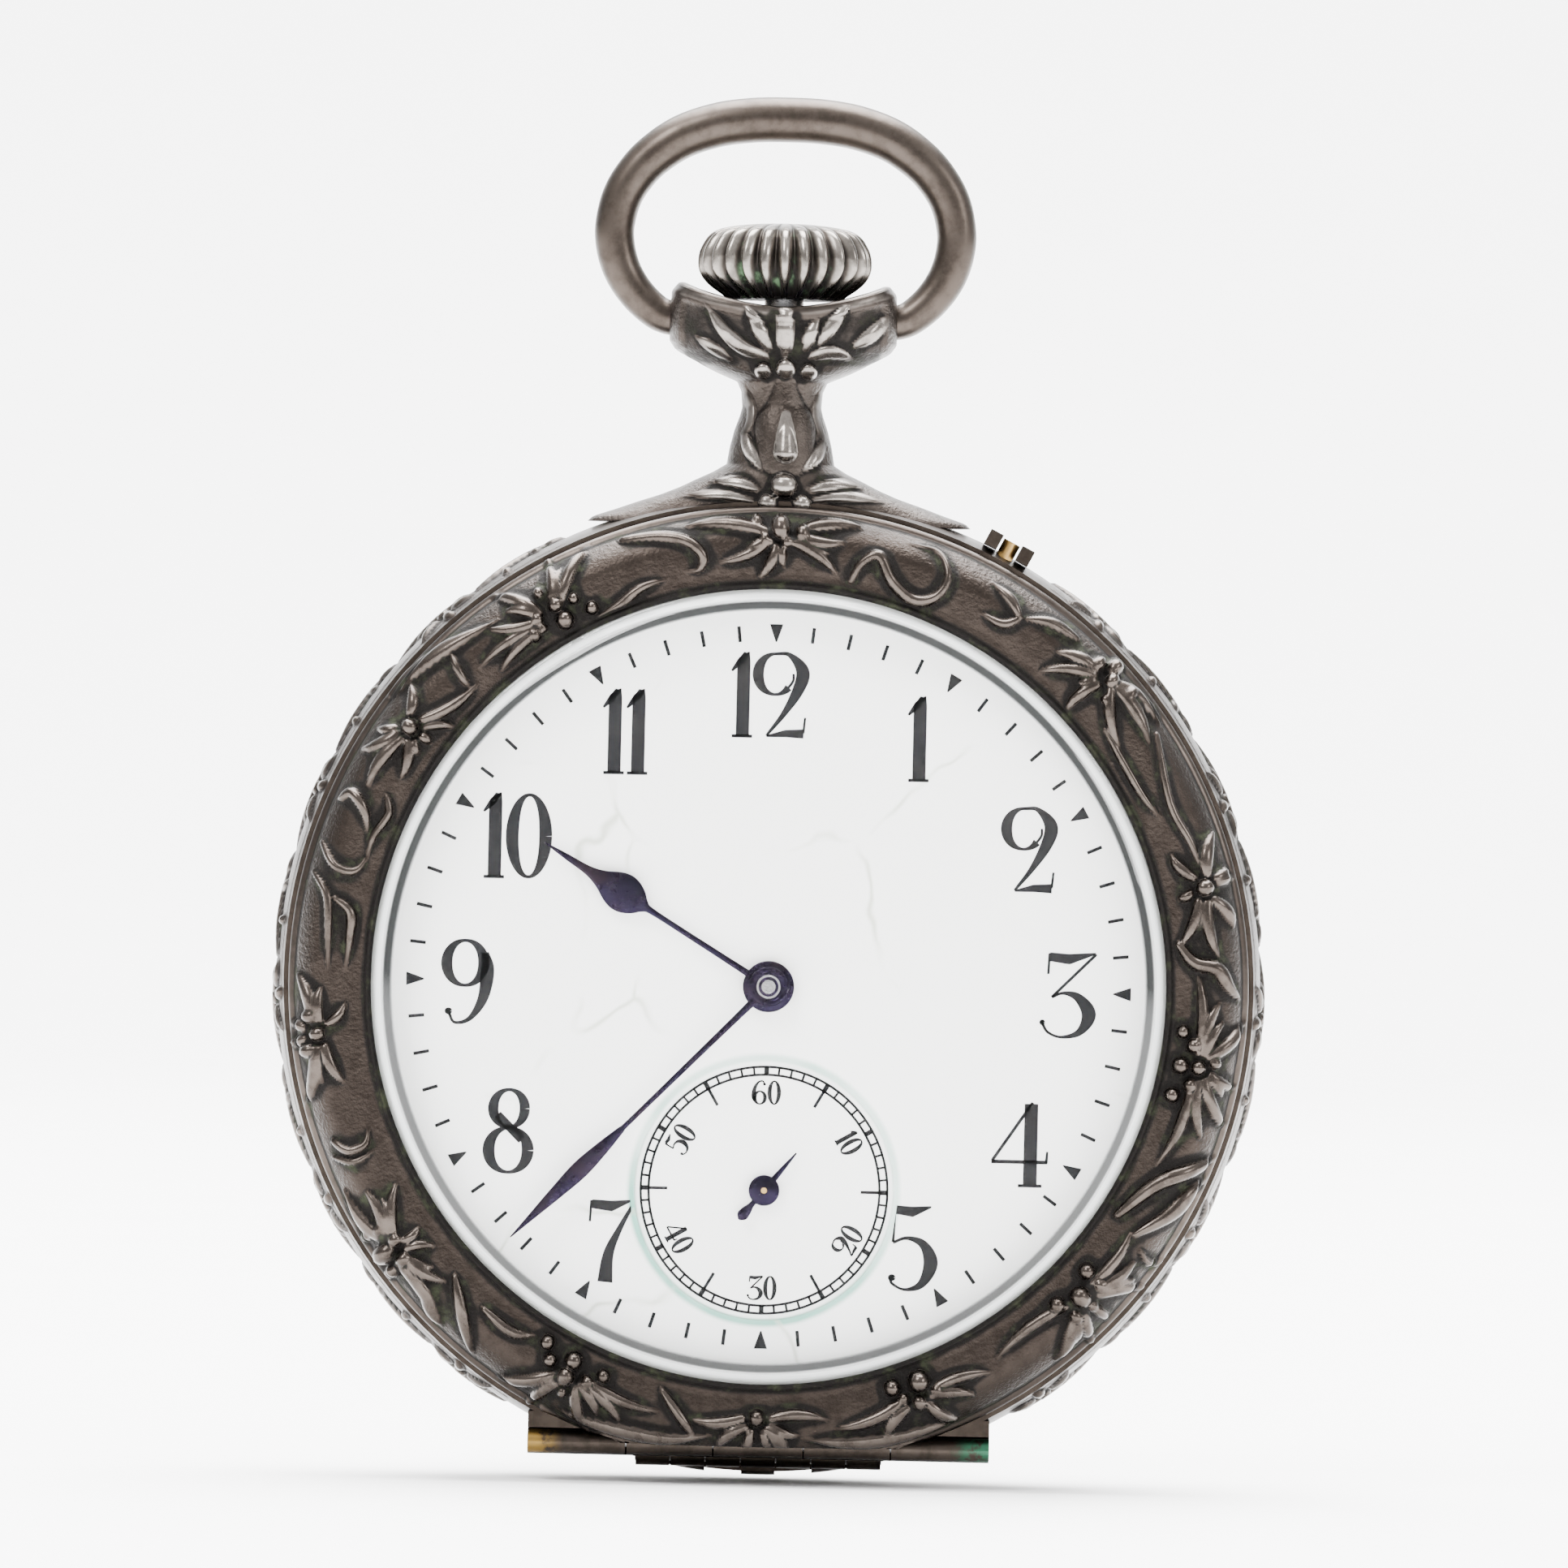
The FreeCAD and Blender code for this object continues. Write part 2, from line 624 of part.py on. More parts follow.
def make_crown():
    """Fluted crown, bored for the end of the stem."""
    body = crown_profile()
    pitch = 360.0 / crown_ribs
    for rib in range(crown_ribs):
        angle = math.radians(rib * pitch)
        reach = crown_radius + crown_groove_radius * 0.35
        start = Vector(reach * math.sin(angle), crown_base_y - 1, stem_height + reach * math.cos(angle))
        groove = Part.makeCylinder(crown_groove_radius, crown_height + 2, start, Vector(0, 1, 0))
        body = body.cut(groove)
    return body.cut(rod_y(crown_base_y - 1, crown_base_y + crown_bore_depth, stem_radius))


def make_bow():
    """Oval bow of round wire, with a pivot turned in at each end."""
    side_radius = bow_half_width - bow_side_centre
    top_shift = (bow_side_centre ** 2 - (bow_half_height - side_radius) ** 2) / (
        2 * (bow_half_height - side_radius))
    top_radius = bow_half_height + top_shift
    join = math.degrees(math.atan2(top_shift, bow_side_centre))
    foot = -math.degrees(math.asin((bow_centre_y - bow_pivot_y) / side_radius))

    def at(side, degrees):
        x, y = polar(side_radius, degrees)
        return Vector(side * (bow_side_centre + x), bow_centre_y + y, stem_height)

    top = Vector(0, bow_centre_y + bow_half_height, stem_height)
    pieces = []
    for side in (1, -1):
        low = Part.Arc(at(side, foot), at(side, (foot + join) / 2), at(side, join)).toShape()
        path = Part.Wire([low])
        section = Part.Wire([Part.makeCircle(bow_wire_radius, at(side, join), Vector(
            -math.sin(math.radians(join)) * side, math.cos(math.radians(join)), 0))])
        pieces.append(path.makePipeShell([section], True, False))
    half_angle = 90 - join
    arc = Part.Arc(at(1, join), top, at(-1, join)).toShape()
    section = Part.Wire([Part.makeCircle(bow_wire_radius, top, Vector(1, 0, 0))])
    face = Part.Face(section)
    hub = Vector(0, bow_centre_y + bow_half_height - top_radius, stem_height)
    right = face.revolve(hub, Vector(0, 0, 1), -half_angle)
    left = face.revolve(hub, Vector(0, 0, 1), half_angle)
    pieces += [right, left]
    for side in (1, -1):
        end = at(side, foot).x
        inner = side * (head_half - bow_pivot_length)
        pieces.append(rod_x(bow_pivot_y, stem_height, min(end, inner), max(end, inner), bow_pivot_radius))
        pieces.append(Part.makeSphere(bow_wire_radius, at(side, foot)))
    body = fuse(pieces)
    head_room = Part.makeCylinder(head_half + bow_clearance, 4,
                                  Vector(0, bow_pivot_y - 2, stem_height), Vector(0, 1, 0))
    keep = rod_x(bow_pivot_y, stem_height, -head_half - 1, head_half + 1, bow_pivot_radius)
    return body.cut(head_room.cut(keep))


def make_guard():
    """Two small ears on the band that guard the push piece."""
    ears = []
    for side in (-1, 1):
        near = side * guard_gap / 2
        far = side * (guard_gap / 2 + guard_thickness)
        ear = block(min(near, far), max(near, far), case_radius - guard_root, guard_end,
                    push_height - guard_half_height, push_height + guard_half_height)
        ear = ear.cut(disc(centre, case_radius, 0, 20))
        ears.append(turn(ear, centre, -push_angle))
    return Part.makeCompound(ears)


def make_case():
    """Write every piece of the case."""
    save("case_middle", make_case_middle())
    save("front_case_knuckles", knuckles(front_hinge_rod, front_case_spans, front_knuckle_radius))
    save("bezel", make_bezel())
    save("bezel_knuckles", knuckles(front_hinge_rod, front_bezel_spans, front_knuckle_radius))
    save("front_hinge_pin", front_hinge_rod(-front_hinge_half, front_hinge_half, hinge_pin_radius))
    save("crystal", make_crystal())
    save("back_cover", make_back_cover())
    save("back_cover_knuckles", knuckles(back_hinge_rod, back_cover_spans, back_knuckle_radius))
    save("cuvette", make_cuvette())
    save("cuvette_knuckles", knuckles(back_hinge_rod, cuvette_spans, back_knuckle_radius))
    save("back_case_knuckles", knuckles(back_hinge_rod, back_case_spans, back_knuckle_radius))
    save("back_hinge_pin", back_hinge_rod(-back_hinge_half, back_hinge_half, hinge_pin_radius))
    save("pendant", make_pendant())
    sleeve = rod_y(case_bore + 0.4, head_y + 2, sleeve_radius)
    save("pendant_sleeve", sleeve.cut(rod_y(case_bore, head_y + 3, stem_radius + running_clearance)))
    save("bow", make_bow())
    save("crown", make_crown())
    save("push_piece", push_rod(push_inner_end, push_end, push_radius))
    save("push_piece_guard", make_guard())


# ================================================================ movement frame
def sector_leg(low_angle, high_angle, inner, outer, low, high):
    """Part of a ring between two angles."""
    far = outer * 2
    wedge = prism([centre, polar(far, low_angle), polar(far, (low_angle + high_angle) / 2),
                   polar(far, high_angle)], low, high)
    return ring(centre, inner, outer, low, high).common(wedge)


def balance_room(low, high):
    """Space that the balance swings in."""
    return disc(balance_at, balance_radius + balance_clearance, low, high)


def keyless_room(low, high):
    """Space round the stem, the winding pinion and the clutch."""
    half = clutch_radius + 0.45
    return block(-half, half, setting_at[1] + 2.6, plate_radius + 2, low, high)


def jewel_holes(places, low, high):
    """Holes that the jewels are set in."""
    return [disc(at, jewel_radius, low, high) for at in places]


plate_jewel_places = [third_at, fourth_at, escape_at, balance_at, pallet_at]
bridge_jewel_places = [third_at, fourth_at, escape_at]


def make_main_plate():
    """Round plate with a flange that seats in the case, and recesses for the wheels."""
    plate = fuse([disc(centre, plate_radius, plate_back, plate_front),
                  disc(centre, flange_radius, flange_seat, plate_front)])
    tools = [
        keyless_room(plate_back - 1, plate_front + 1),
        disc(centre, arbor_radius + 0.45, plate_back - 1, plate_front + 1),
        disc(barrel_at, arbor_radius + 0.45 + running_clearance, plate_back - 1, plate_front - 0.5),
        push_rod(push_inner_end - 4, plate_radius + 2, push_radius + 0.2),
        setting_lever_room(),
    ]
    tools += jewel_holes(plate_jewel_places, plate_back - 1, plate_front + 1)
    tools += [disc(at, case_screw_shank, plate_back - 1, plate_front + 1) for at in case_screw_places]
    return cut(plate, tools)


def barrel_bridge_outline(low, high):
    """Upper part of the disc that the two bridges divide between them."""
    half = disc(centre, plate_radius - bridge_inset, low, high)
    half = half.common(block(-30, 30, bridge_split + bridge_gap / 2, 30, low, high))
    return half.cut(balance_room(low - 1, high + 1))


def make_barrel_bridge():
    """Bridge over the barrel, which also carries the winding wheels."""
    top = barrel_bridge_outline(bridge_back, bridge_front)
    low_leg = math.degrees(math.asin((bridge_split + 2.5) / plate_radius))
    edge = plate_radius - bridge_inset
    legs = [sector_leg(low_leg, 80, plate_radius - 2.2, edge, bridge_back, plate_back),
            sector_leg(100, 150, plate_radius - 4.5, edge, bridge_back, plate_back)]
    foot_at = (cock_foot_x, cock_foot_y)
    foot = disc(foot_at, cock_foot_radius + 0.3, bridge_back - 1, plate_back + 1)
    arm = bar(foot_at, balance_at, cock_foot_radius + 0.3, 1.8, bridge_back - 1, plate_back + 1)
    tools = [
        keyless_room(bridge_front, plate_back + 1),
        rod_y(clutch_inner_end - clutch_travel - 0.15, plate_radius + 2, clutch_radius + 0.45),
        ring(crown_wheel_at, crown_wheel_radius - 0.9, crown_wheel_radius + 0.6,
             bridge_back - 1, bridge_front + 1),
        disc(barrel_at, arbor_radius + 0.45 + running_clearance, bridge_back - 1, bridge_front + 1),
        foot, arm,
    ]
    bridge = cut(fuse([top] + legs), tools)
    return max(bridge.Solids, key=lambda solid: solid.Volume)


def make_train_bridge():
    """Bridge over the centre, third, fourth and escape wheels."""
    edge = plate_radius - bridge_inset
    top = disc(centre, edge, bridge_back, bridge_front)
    top = top.common(block(-8.2, 30, -30, bridge_split - bridge_gap / 2, bridge_back, bridge_front))
    leg = sector_leg(-75, -3, plate_radius - 3.2, edge, bridge_back, plate_back)
    second = sector_leg(-115, -92, plate_radius - 3.2, edge, bridge_back, plate_back)
    tools = [balance_room(bridge_back - 1, plate_back + 1),
             disc(centre, arbor_radius + 0.3, bridge_back - 1, bridge_front + 1)]
    tools += jewel_holes(bridge_jewel_places, bridge_back - 1, bridge_front + 1)
    bridge = cut(fuse([top, leg, second]), tools)
    return max(bridge.Solids, key=lambda solid: solid.Volume)


def make_balance_cock():
    """Single-footed cock over the balance."""
    foot_at = (cock_foot_x, cock_foot_y)
    foot = disc(foot_at, cock_foot_radius, bridge_back, plate_back)
    arm = bar(foot_at, balance_at, cock_foot_radius, 1.5, bridge_back, bridge_front - 0.1)
    end = disc(balance_at, 1.7, bridge_back, bridge_front - 0.1)
    stud_at = offset(balance_at, stud_distance, stud_angle)
    stud = disc(stud_at, 0.35, bridge_back, balance_low - 0.15)
    carrier = bar(balance_at, stud_at, 1.0, 0.45, bridge_back, bridge_front - 0.1)
    cock = fuse([foot, arm, end, carrier, stud])
    return cock.cut(disc(balance_at, jewel_radius, bridge_back - 1, bridge_front))


def make_pallet_bridge():
    """Small bridge over the pallet arbor."""
    ends = [offset(pallet_at, 2.5, balance_angle - 34), offset(pallet_at, 2.5, balance_angle + 78)]
    high = pallet_bridge_back + 0.3
    pieces = [disc(pallet_at, 0.6, pallet_bridge_back, high)]
    for end in ends:
        pieces += [bar(pallet_at, end, 0.55, 0.55, pallet_bridge_back, high),
                   disc(end, 0.6, pallet_bridge_back, plate_back)]
    return fuse(pieces).cut(disc(pallet_at, pivot_radius + jewel_clearance, 0, plate_back + 1))


def screw(at, head, low, length):
    """Slotted screw seen from the back: head below, shank towards the dial."""
    top = disc(at, head, low, low + 0.35)
    shank = disc(at, head * 0.5, low + 0.35, low + length)
    slot = block(at[0] - head, at[0] + head, at[1] - 0.09, at[1] + 0.09, low - 0.1, low + 0.15)
    return fuse([top, shank]).cut(slot)


bridge_screw_places = [polar(plate_radius - 1.5, 30), polar(plate_radius - 2.5, 128),
                       polar(plate_radius - 2.1, -60), polar(plate_radius - 2.1, -12),
                       (cock_foot_x, cock_foot_y)]
case_screw_places = [polar(case_bore - 0.9, 4), polar(case_bore - 0.9, 182)]


def make_screws():
    """Screws of the bridges, the crown wheel, the click and the setting lever."""
    screws = [screw(at, bridge_screw_head, bridge_back - bridge_screw_sink, bridge_screw_length)
              for at in bridge_screw_places]
    screws.append(screw(crown_wheel_at, crown_wheel_screw_head, winding_back - 0.3, 0.95))
    screws.append(screw(click_at, 0.6, winding_back - 0.35, 0.95))
    screws.append(fuse([disc(lever_pivot_at, 0.42, push_height - 0.3, push_height + 0.4),
                        disc(lever_pivot_at, 0.9, push_height + 0.4, push_height + 0.75)]))
    return Part.makeCompound(screws)


def screw_holes():
    """Holes and head recesses that the screws leave in the bridges."""
    head_front = bridge_back - bridge_screw_sink + 0.35
    end = bridge_back - bridge_screw_sink + bridge_screw_length
    holes = [disc(at, bridge_screw_head / 2, 0, end) for at in bridge_screw_places]
    holes += [disc(crown_wheel_at, crown_wheel_screw_head / 2, 0, winding_back + 0.65),
              disc(click_at, 0.3, 0, winding_back + 0.6)]
    return holes + [disc(at, bridge_screw_head, 0, head_front) for at in bridge_screw_places]


def make_case_screws():
    """Two screws whose heads hold the plate against the case."""
    screws = [fuse([disc(at, case_screw_head, flange_back - 0.4, flange_back),
                    disc(at, case_screw_shank, flange_back, plate_front)]) for at in case_screw_places]
    return Part.makeCompound(screws)


def make_jewels():
    """Pierced jewels of the plate, the train bridge and the balance cock."""
    hole = jewel_clearance + pivot_radius
    low, back = plate_front - jewel_thickness, bridge_back + jewel_thickness
    stones = [ring(at, hole, jewel_radius, low, plate_front) for at in plate_jewel_places]
    stones += [ring(at, hole, jewel_radius, bridge_back, back) for at in bridge_jewel_places + [balance_at]]
    return Part.makeCompound(stones)


def make_frame():
    """Write the plate, the bridges, their screws and the jewels."""
    holes = screw_holes()
    save("main_plate", make_main_plate())
    save("barrel_bridge", cut(make_barrel_bridge(), holes))
    save("train_bridge", cut(make_train_bridge(), holes))
    save("balance_cock", cut(make_balance_cock(), holes))
    save("pallet_bridge", make_pallet_bridge())
    save("bridge_screws", make_screws())
    save("case_screws", make_case_screws())
    save("jewels", make_jewels())


# ================================================================ winding and setting
click_at = offset(barrel_at, winding_module * ratchet_teeth / 2 + 2.3, -20)


def make_winding_pinion():
    """Toothed wheel round the stem, in mesh with the crown wheel's face teeth."""
    phase = -90.0 + 180.0 / winding_pinion_teeth
    outline = gear_outline((0.0, stem_height), winding_pinion_teeth, winding_module, phase)
    corners = [Vector(x, winding_pinion_y - winding_pinion_width / 2, z) for x, z in outline]
    face = Part.Face(Part.makePolygon(corners + corners[:1]))
    body = face.extrude(Vector(0, winding_pinion_width, 0))
    return body.cut(rod_y(winding_pinion_y - 1, winding_pinion_y + 1, stem_radius + running_clearance))


def make_clutch():
    """Sliding wheel on the stem, with a groove for the setting lever."""
    top = clutch_inner_end + clutch_length
    body = rod_y(clutch_inner_end, top, clutch_radius)
    groove = rod_y(top - 0.65 * clutch_length, top - 0.4 * clutch_length, clutch_radius + 1)
    groove = groove.cut(rod_y(0, 30, clutch_radius - 0.55))
    teeth = [turned_slot(i, top) for i in range(12)]
    square = rod_y(0, 30, stem_radius + running_clearance)
    return cut(body, [groove, square] + teeth)


def turned_slot(index, top):
    """Slot of the clutch's face teeth."""
    slot = block(-0.16, 0.16, top - clutch_length - 0.1, top - clutch_length + 0.35,
                 stem_height + stem_radius + 0.2, stem_height + clutch_radius + 0.2)
    slot.rotate(Vector(0, 0, stem_height), Vector(0, 1, 0), index * 30)
    return slot


def make_crown_wheel():
    """Wheel with edge teeth for the ratchet wheel and face teeth for the winding pinion."""
    body = gear(crown_wheel_at, crown_wheel_teeth, winding_module, crown_wheel_phase,
                winding_back, winding_front)
    pitch = 360.0 / crown_wheel_teeth
    tip = stem_height - winding_module * (winding_pinion_teeth / 2 - addendum * 0.6)
    pieces = [body]
    for tooth in range(crown_wheel_teeth):
        bar_piece = bar(offset(crown_wheel_at, crown_wheel_radius - 0.4, crown_wheel_phase + tooth * pitch),
                        offset(crown_wheel_at, crown_wheel_radius + 0.1, crown_wheel_phase + tooth * pitch),
                        0.12, 0.12, winding_front - 0.02, tip)
        pieces.append(bar_piece)
    body = pieces[0].multiFuse(pieces[1:])
    head = crown_wheel_screw_head
    seat = disc(crown_wheel_at, head + running_clearance, winding_back - 1, winding_back + 0.05)
    return cut(body, [disc(crown_wheel_at, head / 2 + running_clearance, 0, 10), seat])


def lever_points():
    """Pivot, push end and fork end of the setting lever."""
    angle = math.radians(push_angle)
    reach = push_inner_end - lever_half - running_clearance
    push_point = (reach * math.sin(angle), reach * math.cos(angle))
    clutch_y = clutch_inner_end + 0.475 * clutch_length
    return lever_pivot_at, push_point, (1.0, clutch_y)


def make_setting_lever():
    """Lever from the push piece to the clutch groove."""
    pivot, push_point, fork = lever_points()
    low, high = push_height - 0.2, push_height + 0.35
    knee = (fork[0] + 3.0, fork[1] - 0.3)
    pieces = [disc(pivot, 1.0, low, high), bar(pivot, push_point, 0.8, lever_half, low, high),
              disc(push_point, lever_half, low, high), bar(pivot, knee, 0.8, 0.4, low, high),
              bar(knee, fork, 0.4, 0.2, low, high), disc(knee, 0.4, low, high)]
    return fuse(pieces).cut(disc(pivot, 0.45, 0, 20))


def setting_lever_room():
    """Pocket in the plate's front for the setting lever, wide enough for its travel."""
    pivot, push_point, fork = lever_points()
    low, high = push_height - 0.3, plate_front + 1
    foot_at, start, end = lever_spring_points()
    knee = (fork[0] + 3.0, fork[1] - 0.9)
    inner = (push_point[0] * 0.95, push_point[1] * 0.95)
    pieces = [disc(pivot, 1.15, low, high), disc(knee, 1.5, low, high), disc(push_point, 1.2, low, high),
              bar(pivot, push_point, 1.1, 1.2, low, high),
              bar(pivot, inner, 1.1, 1.2, low, high), bar(pivot, knee, 1.6, 1.5, low, high),
              bar(knee, (0.5, fork[1] - 0.7), 1.5, 1.5, low, high),
              bar(foot_at, start, 0.9, 0.7, low, high), bar(start, end, 0.7, 0.7, low, high),
              disc(foot_at, 0.9, low, high)]
    return fuse(pieces)


def lever_spring_points():
    """Foot, bend and free end of the setting lever's spring."""
    pivot = lever_points()[0]
    return offset(pivot, 2.9, 215), offset(pivot, 2.6, 195), offset(pivot, 4.1, 171)


def make_setting_wheel():
    """Wheel between the minute wheel and the clutch."""
    body = gear(setting_at, setting_teeth, motion_module, setting_phase, motion_back, motion_mid)
    return spoked(body.cut(disc(setting_at, 0.45, 0, 20)), setting_at, 1.1, 3.2, 5, motion_back, motion_mid)


def make_ratchet_wheel():
    """Ratchet wheel on the square of the barrel arbor."""
    body = gear(barrel_at, ratchet_teeth, winding_module, ratchet_phase, winding_back, winding_front)
    return body.cut(disc(barrel_at, 0.5, 0, 10))


def make_click():
    """Pawl beside the ratchet wheel, its tip just clear of the teeth."""
    tip = offset(barrel_at, winding_module * (ratchet_teeth / 2 + addendum) + 0.12, 5)
    low, high = winding_back, winding_front
    body = fuse([disc(click_at, 0.8, low, high), bar(click_at, tip, 0.5, 0.08, low, high)])
    ratchet_room = disc(barrel_at, winding_module * (ratchet_teeth / 2 + addendum) + 0.06, 0, 10)
    return cut(body, [disc(click_at, 0.33, 0, 10), ratchet_room])


def make_click_spring():
    """Bent leaf spring that presses the click."""
    start = offset(click_at, 1.2, -100)
    bend = offset(click_at, 1.35, -20)
    end = offset(click_at, 1.15, 55)
    low, high = winding_back + 0.05, winding_front - 0.05
    foot = disc(offset(click_at, 2.4, -100), 0.5, winding_back, bridge_back)
    return fuse([bar(offset(click_at, 2.4, -100), start, 0.3, 0.1, low, high), disc(start, 0.1, low, high),
                 bar(start, bend, 0.1, 0.1, low, high), disc(bend, 0.1, low, high),
                 bar(bend, end, 0.1, 0.08, low, high), foot])


def make_lever_spring():
    """Leaf spring that returns the setting lever."""
    low, high = push_height - 0.1, push_height + 0.25
    foot_at, start, end = lever_spring_points()
    return fuse([disc(foot_at, 0.5, low - 0.2, high), bar(foot_at, start, 0.4, 0.12, low, high),
                 disc(start, 0.12, low, high), bar(start, end, 0.12, 0.08, low, high)])


def make_keyless():
    """Write the winding and setting parts."""
    stem_inner = winding_pinion_y - 4.3
    save("stem", rod_y(stem_inner, crown_base_y + crown_bore_depth, stem_radius))
    save("winding_pinion", make_winding_pinion())
    save("clutch_wheel", make_clutch())
    save("crown_wheel", make_crown_wheel())
    save("ratchet_wheel", make_ratchet_wheel())
    save("ratchet_screw", screw(barrel_at, 1.2, winding_back - 0.35, 0.35 + 0.6).cut(
        disc(barrel_at, 0.7, winding_back, 10)))
    save("click", make_click())
    save("click_spring", make_click_spring())
    save("setting_lever", make_setting_lever())
    save("setting_lever_spring", make_lever_spring())
    save("setting_wheel", make_setting_wheel())


# ================================================================ power and train
drum_inner = barrel_module * (barrel_teeth / 2 - dedendum) - 0.15


def make_barrel_drum():
    """Toothed drum that holds the mainspring."""
    teeth = gear(barrel_at, barrel_teeth, barrel_module, barrel_phase, drum_front - 0.6, drum_front)
    wall = disc(barrel_at, drum_inner, drum_back, drum_front)
    hollow = disc(barrel_at, drum_inner - drum_wall, drum_back - 1, drum_front - 0.3)
    bore = disc(barrel_at, barrel_arbor_radius + running_clearance, 0, 20)
    return cut(fuse([teeth, wall]), [hollow, bore])


def make_barrel_cover():
    """Snap-in cover of the drum."""
    bore = barrel_arbor_radius + running_clearance
    return ring(barrel_at, bore, drum_inner - drum_wall, drum_back, drum_back + 0.25)


def make_barrel_arbor():
    """Arbor with a core for the mainspring and a square for the ratchet wheel."""
    return fuse([disc(barrel_at, barrel_arbor_radius, winding_front, plate_front - 0.6),
                 disc(barrel_at, barrel_core_radius, drum_back + 0.3, drum_front - 0.35),
                 disc(barrel_at, 0.48, winding_back, winding_front)])


def spiral_band(at, inner, outer, thickness, turns, start, low, high):
    """Coiled spring: a thin band whose inner side goes evenly from one radius to another."""
    steps = turns * spiral_steps
    outside, inside = [], []
    for step in range(steps + 1):
        radius = inner + (outer - inner) * step / steps
        angle = start + 360.0 * step / spiral_steps
        outside.append(offset(at, radius + thickness, angle))
        inside.append(offset(at, radius, angle))
    return prism(outside + inside[::-1], low, high)


def make_mainspring():
    """Mainspring, coiled round the core of the arbor."""
    outer = drum_inner - drum_wall - 0.1 - mainspring_thickness
    return spiral_band(barrel_at, barrel_core_radius + 0.15, outer, mainspring_thickness, mainspring_turns,
                       0.0, drum_back + 0.35, drum_front - 0.4)


def wheel(at, teeth, module, phase, low, thickness, hub, arms):
    """Spoked train wheel."""
    body = gear(at, teeth, module, phase, low, low + thickness)
    rim = module * (teeth / 2 - dedendum) - 0.45
    return spoked(body, at, hub, rim, arms, low, low + thickness)


def arbor(at, low, high):
    """Arbor with a thin pivot at each end that runs in the jewels."""
    return [disc(at, arbor_radius, low, high),
            disc(at, pivot_radius, bridge_back + 0.05, low),
            disc(at, pivot_radius, high, plate_front - 0.05)]


def make_third_wheel():
    """Third wheel with its pinion and arbor."""
    parts = arbor(third_at, bridge_front + 0.05, plate_back - 0.05)
    parts.append(gear(third_at, third_pinion_leaves, centre_module, third_pinion_phase,
                      bridge_front + 0.05, 6.7))
    parts.append(wheel(third_at, third_teeth, third_module, third_phase, 7.3, 0.2, 0.9, 5))
    return fuse(parts)


def make_fourth_wheel():
    """Fourth wheel with its pinion, and the long pivot that carries the seconds hand."""
    parts = arbor(fourth_at, bridge_front + 0.05, plate_back - 0.05)
    parts.append(disc(fourth_at, pivot_radius, plate_back - 0.1, seconds_hand_height + 0.25))
    parts.append(gear(fourth_at, fourth_pinion_leaves, third_module, fourth_pinion_phase, 6.7, 7.7))
    parts.append(wheel(fourth_at, fourth_teeth, fourth_module, fourth_phase, 6.3, 0.2, 0.85, 5))
    return fuse(parts)


def make_escape_wheel():
    """Escape wheel with club teeth, its pinion and arbor."""
    low, high = escape_low, escape_high
    pitch = 360.0 / escape_teeth
    points = []
    for tooth in range(escape_teeth):
        start = tooth * pitch
        for radius, share in ((0.72, 0.0), (0.97, 0.10), (1.0, 0.26), (0.74, 0.22)):
            points.append(offset(escape_at, escape_radius * radius, start + share * pitch))
        points.append(offset(escape_at, escape_radius * 0.7, start + 0.6 * pitch))
    body = spoked(prism(points, low, high), escape_at, 0.7, escape_radius * 0.62, 4, low, high)
    parts = arbor(escape_at, bridge_front + 0.05, plate_back - 0.05) + [body]
    parts.append(gear(escape_at, escape_pinion_leaves, fourth_module, escape_pinion_phase, 6.05, 7.1))
    return fuse(parts)


def make_centre_pinion():
    """Centre arbor: pinion, pivots and the long front pivot for the cannon pinion."""
    return fuse([
        disc(centre, arbor_radius + 0.1, bridge_back, 6.5),
        gear(centre, centre_pinion_leaves, barrel_module, centre_pinion_phase, 6.5, plate_back - 0.05),
        disc(centre, arbor_radius + 0.4, plate_back - 0.05, plate_front + 0.02),
        disc(centre, arbor_radius, plate_front, minute_hand_height + hand_thickness + 0.2),
    ])


def make_train():
    """Write the barrel and the going train."""
    save("barrel_drum", make_barrel_drum())
    save("barrel_cover", make_barrel_cover())
    save("barrel_arbor", make_barrel_arbor())
    save("mainspring", make_mainspring())
    centre_wheel = wheel(centre, centre_teeth, centre_module, centre_phase,
                         bridge_front + 0.12, 0.22, 1.2, 5)
    save("centre_wheel", centre_wheel.cut(disc(centre, arbor_radius + 0.1, 0, 20)))
    save("centre_pinion", make_centre_pinion())
    save("third_wheel", make_third_wheel())
    save("fourth_wheel", make_fourth_wheel())
    save("escape_wheel", make_escape_wheel())


# ================================================================ escapement
def make_pallet_fork():
    """Lever with two arms towards the escape wheel and a notch towards the roller."""
    notch = balance_distance - impulse_radius - 0.35
    lever = bar(pallet_at, offset(pallet_at, notch, balance_angle), 0.35, 0.28, fork_low, fork_high)
    mouth = offset(pallet_at, notch, balance_angle)
    horns = bar(mouth, offset(pallet_at, notch - 0.6, balance_angle), 0.5, 0.3, fork_low, fork_high)
    slot = bar(offset(pallet_at, notch + 1, balance_angle), offset(pallet_at, notch - 0.3, balance_angle),
               0.17, 0.17, fork_low - 1, fork_high + 1)
    arms = [bar(pallet_at, stone, 0.3, 0.28, fork_low, fork_high) for stone in pallet_arm_ends()]
    post = [disc(pallet_at, 0.3, fork_low - 0.05, plate_back - 0.02),
            disc(pallet_at, pivot_radius, pallet_bridge_back, plate_front - 0.05)]
    return fuse([lever, horns] + arms + post).cut(slot)


def pallet_arm_ends():
    """Ends of the two pallet arms, just outside the escape wheel."""
    clear = escape_radius + 0.55
    return [offset(escape_at, clear, pallet_angle + side * 32) for side in (-1, 1)]


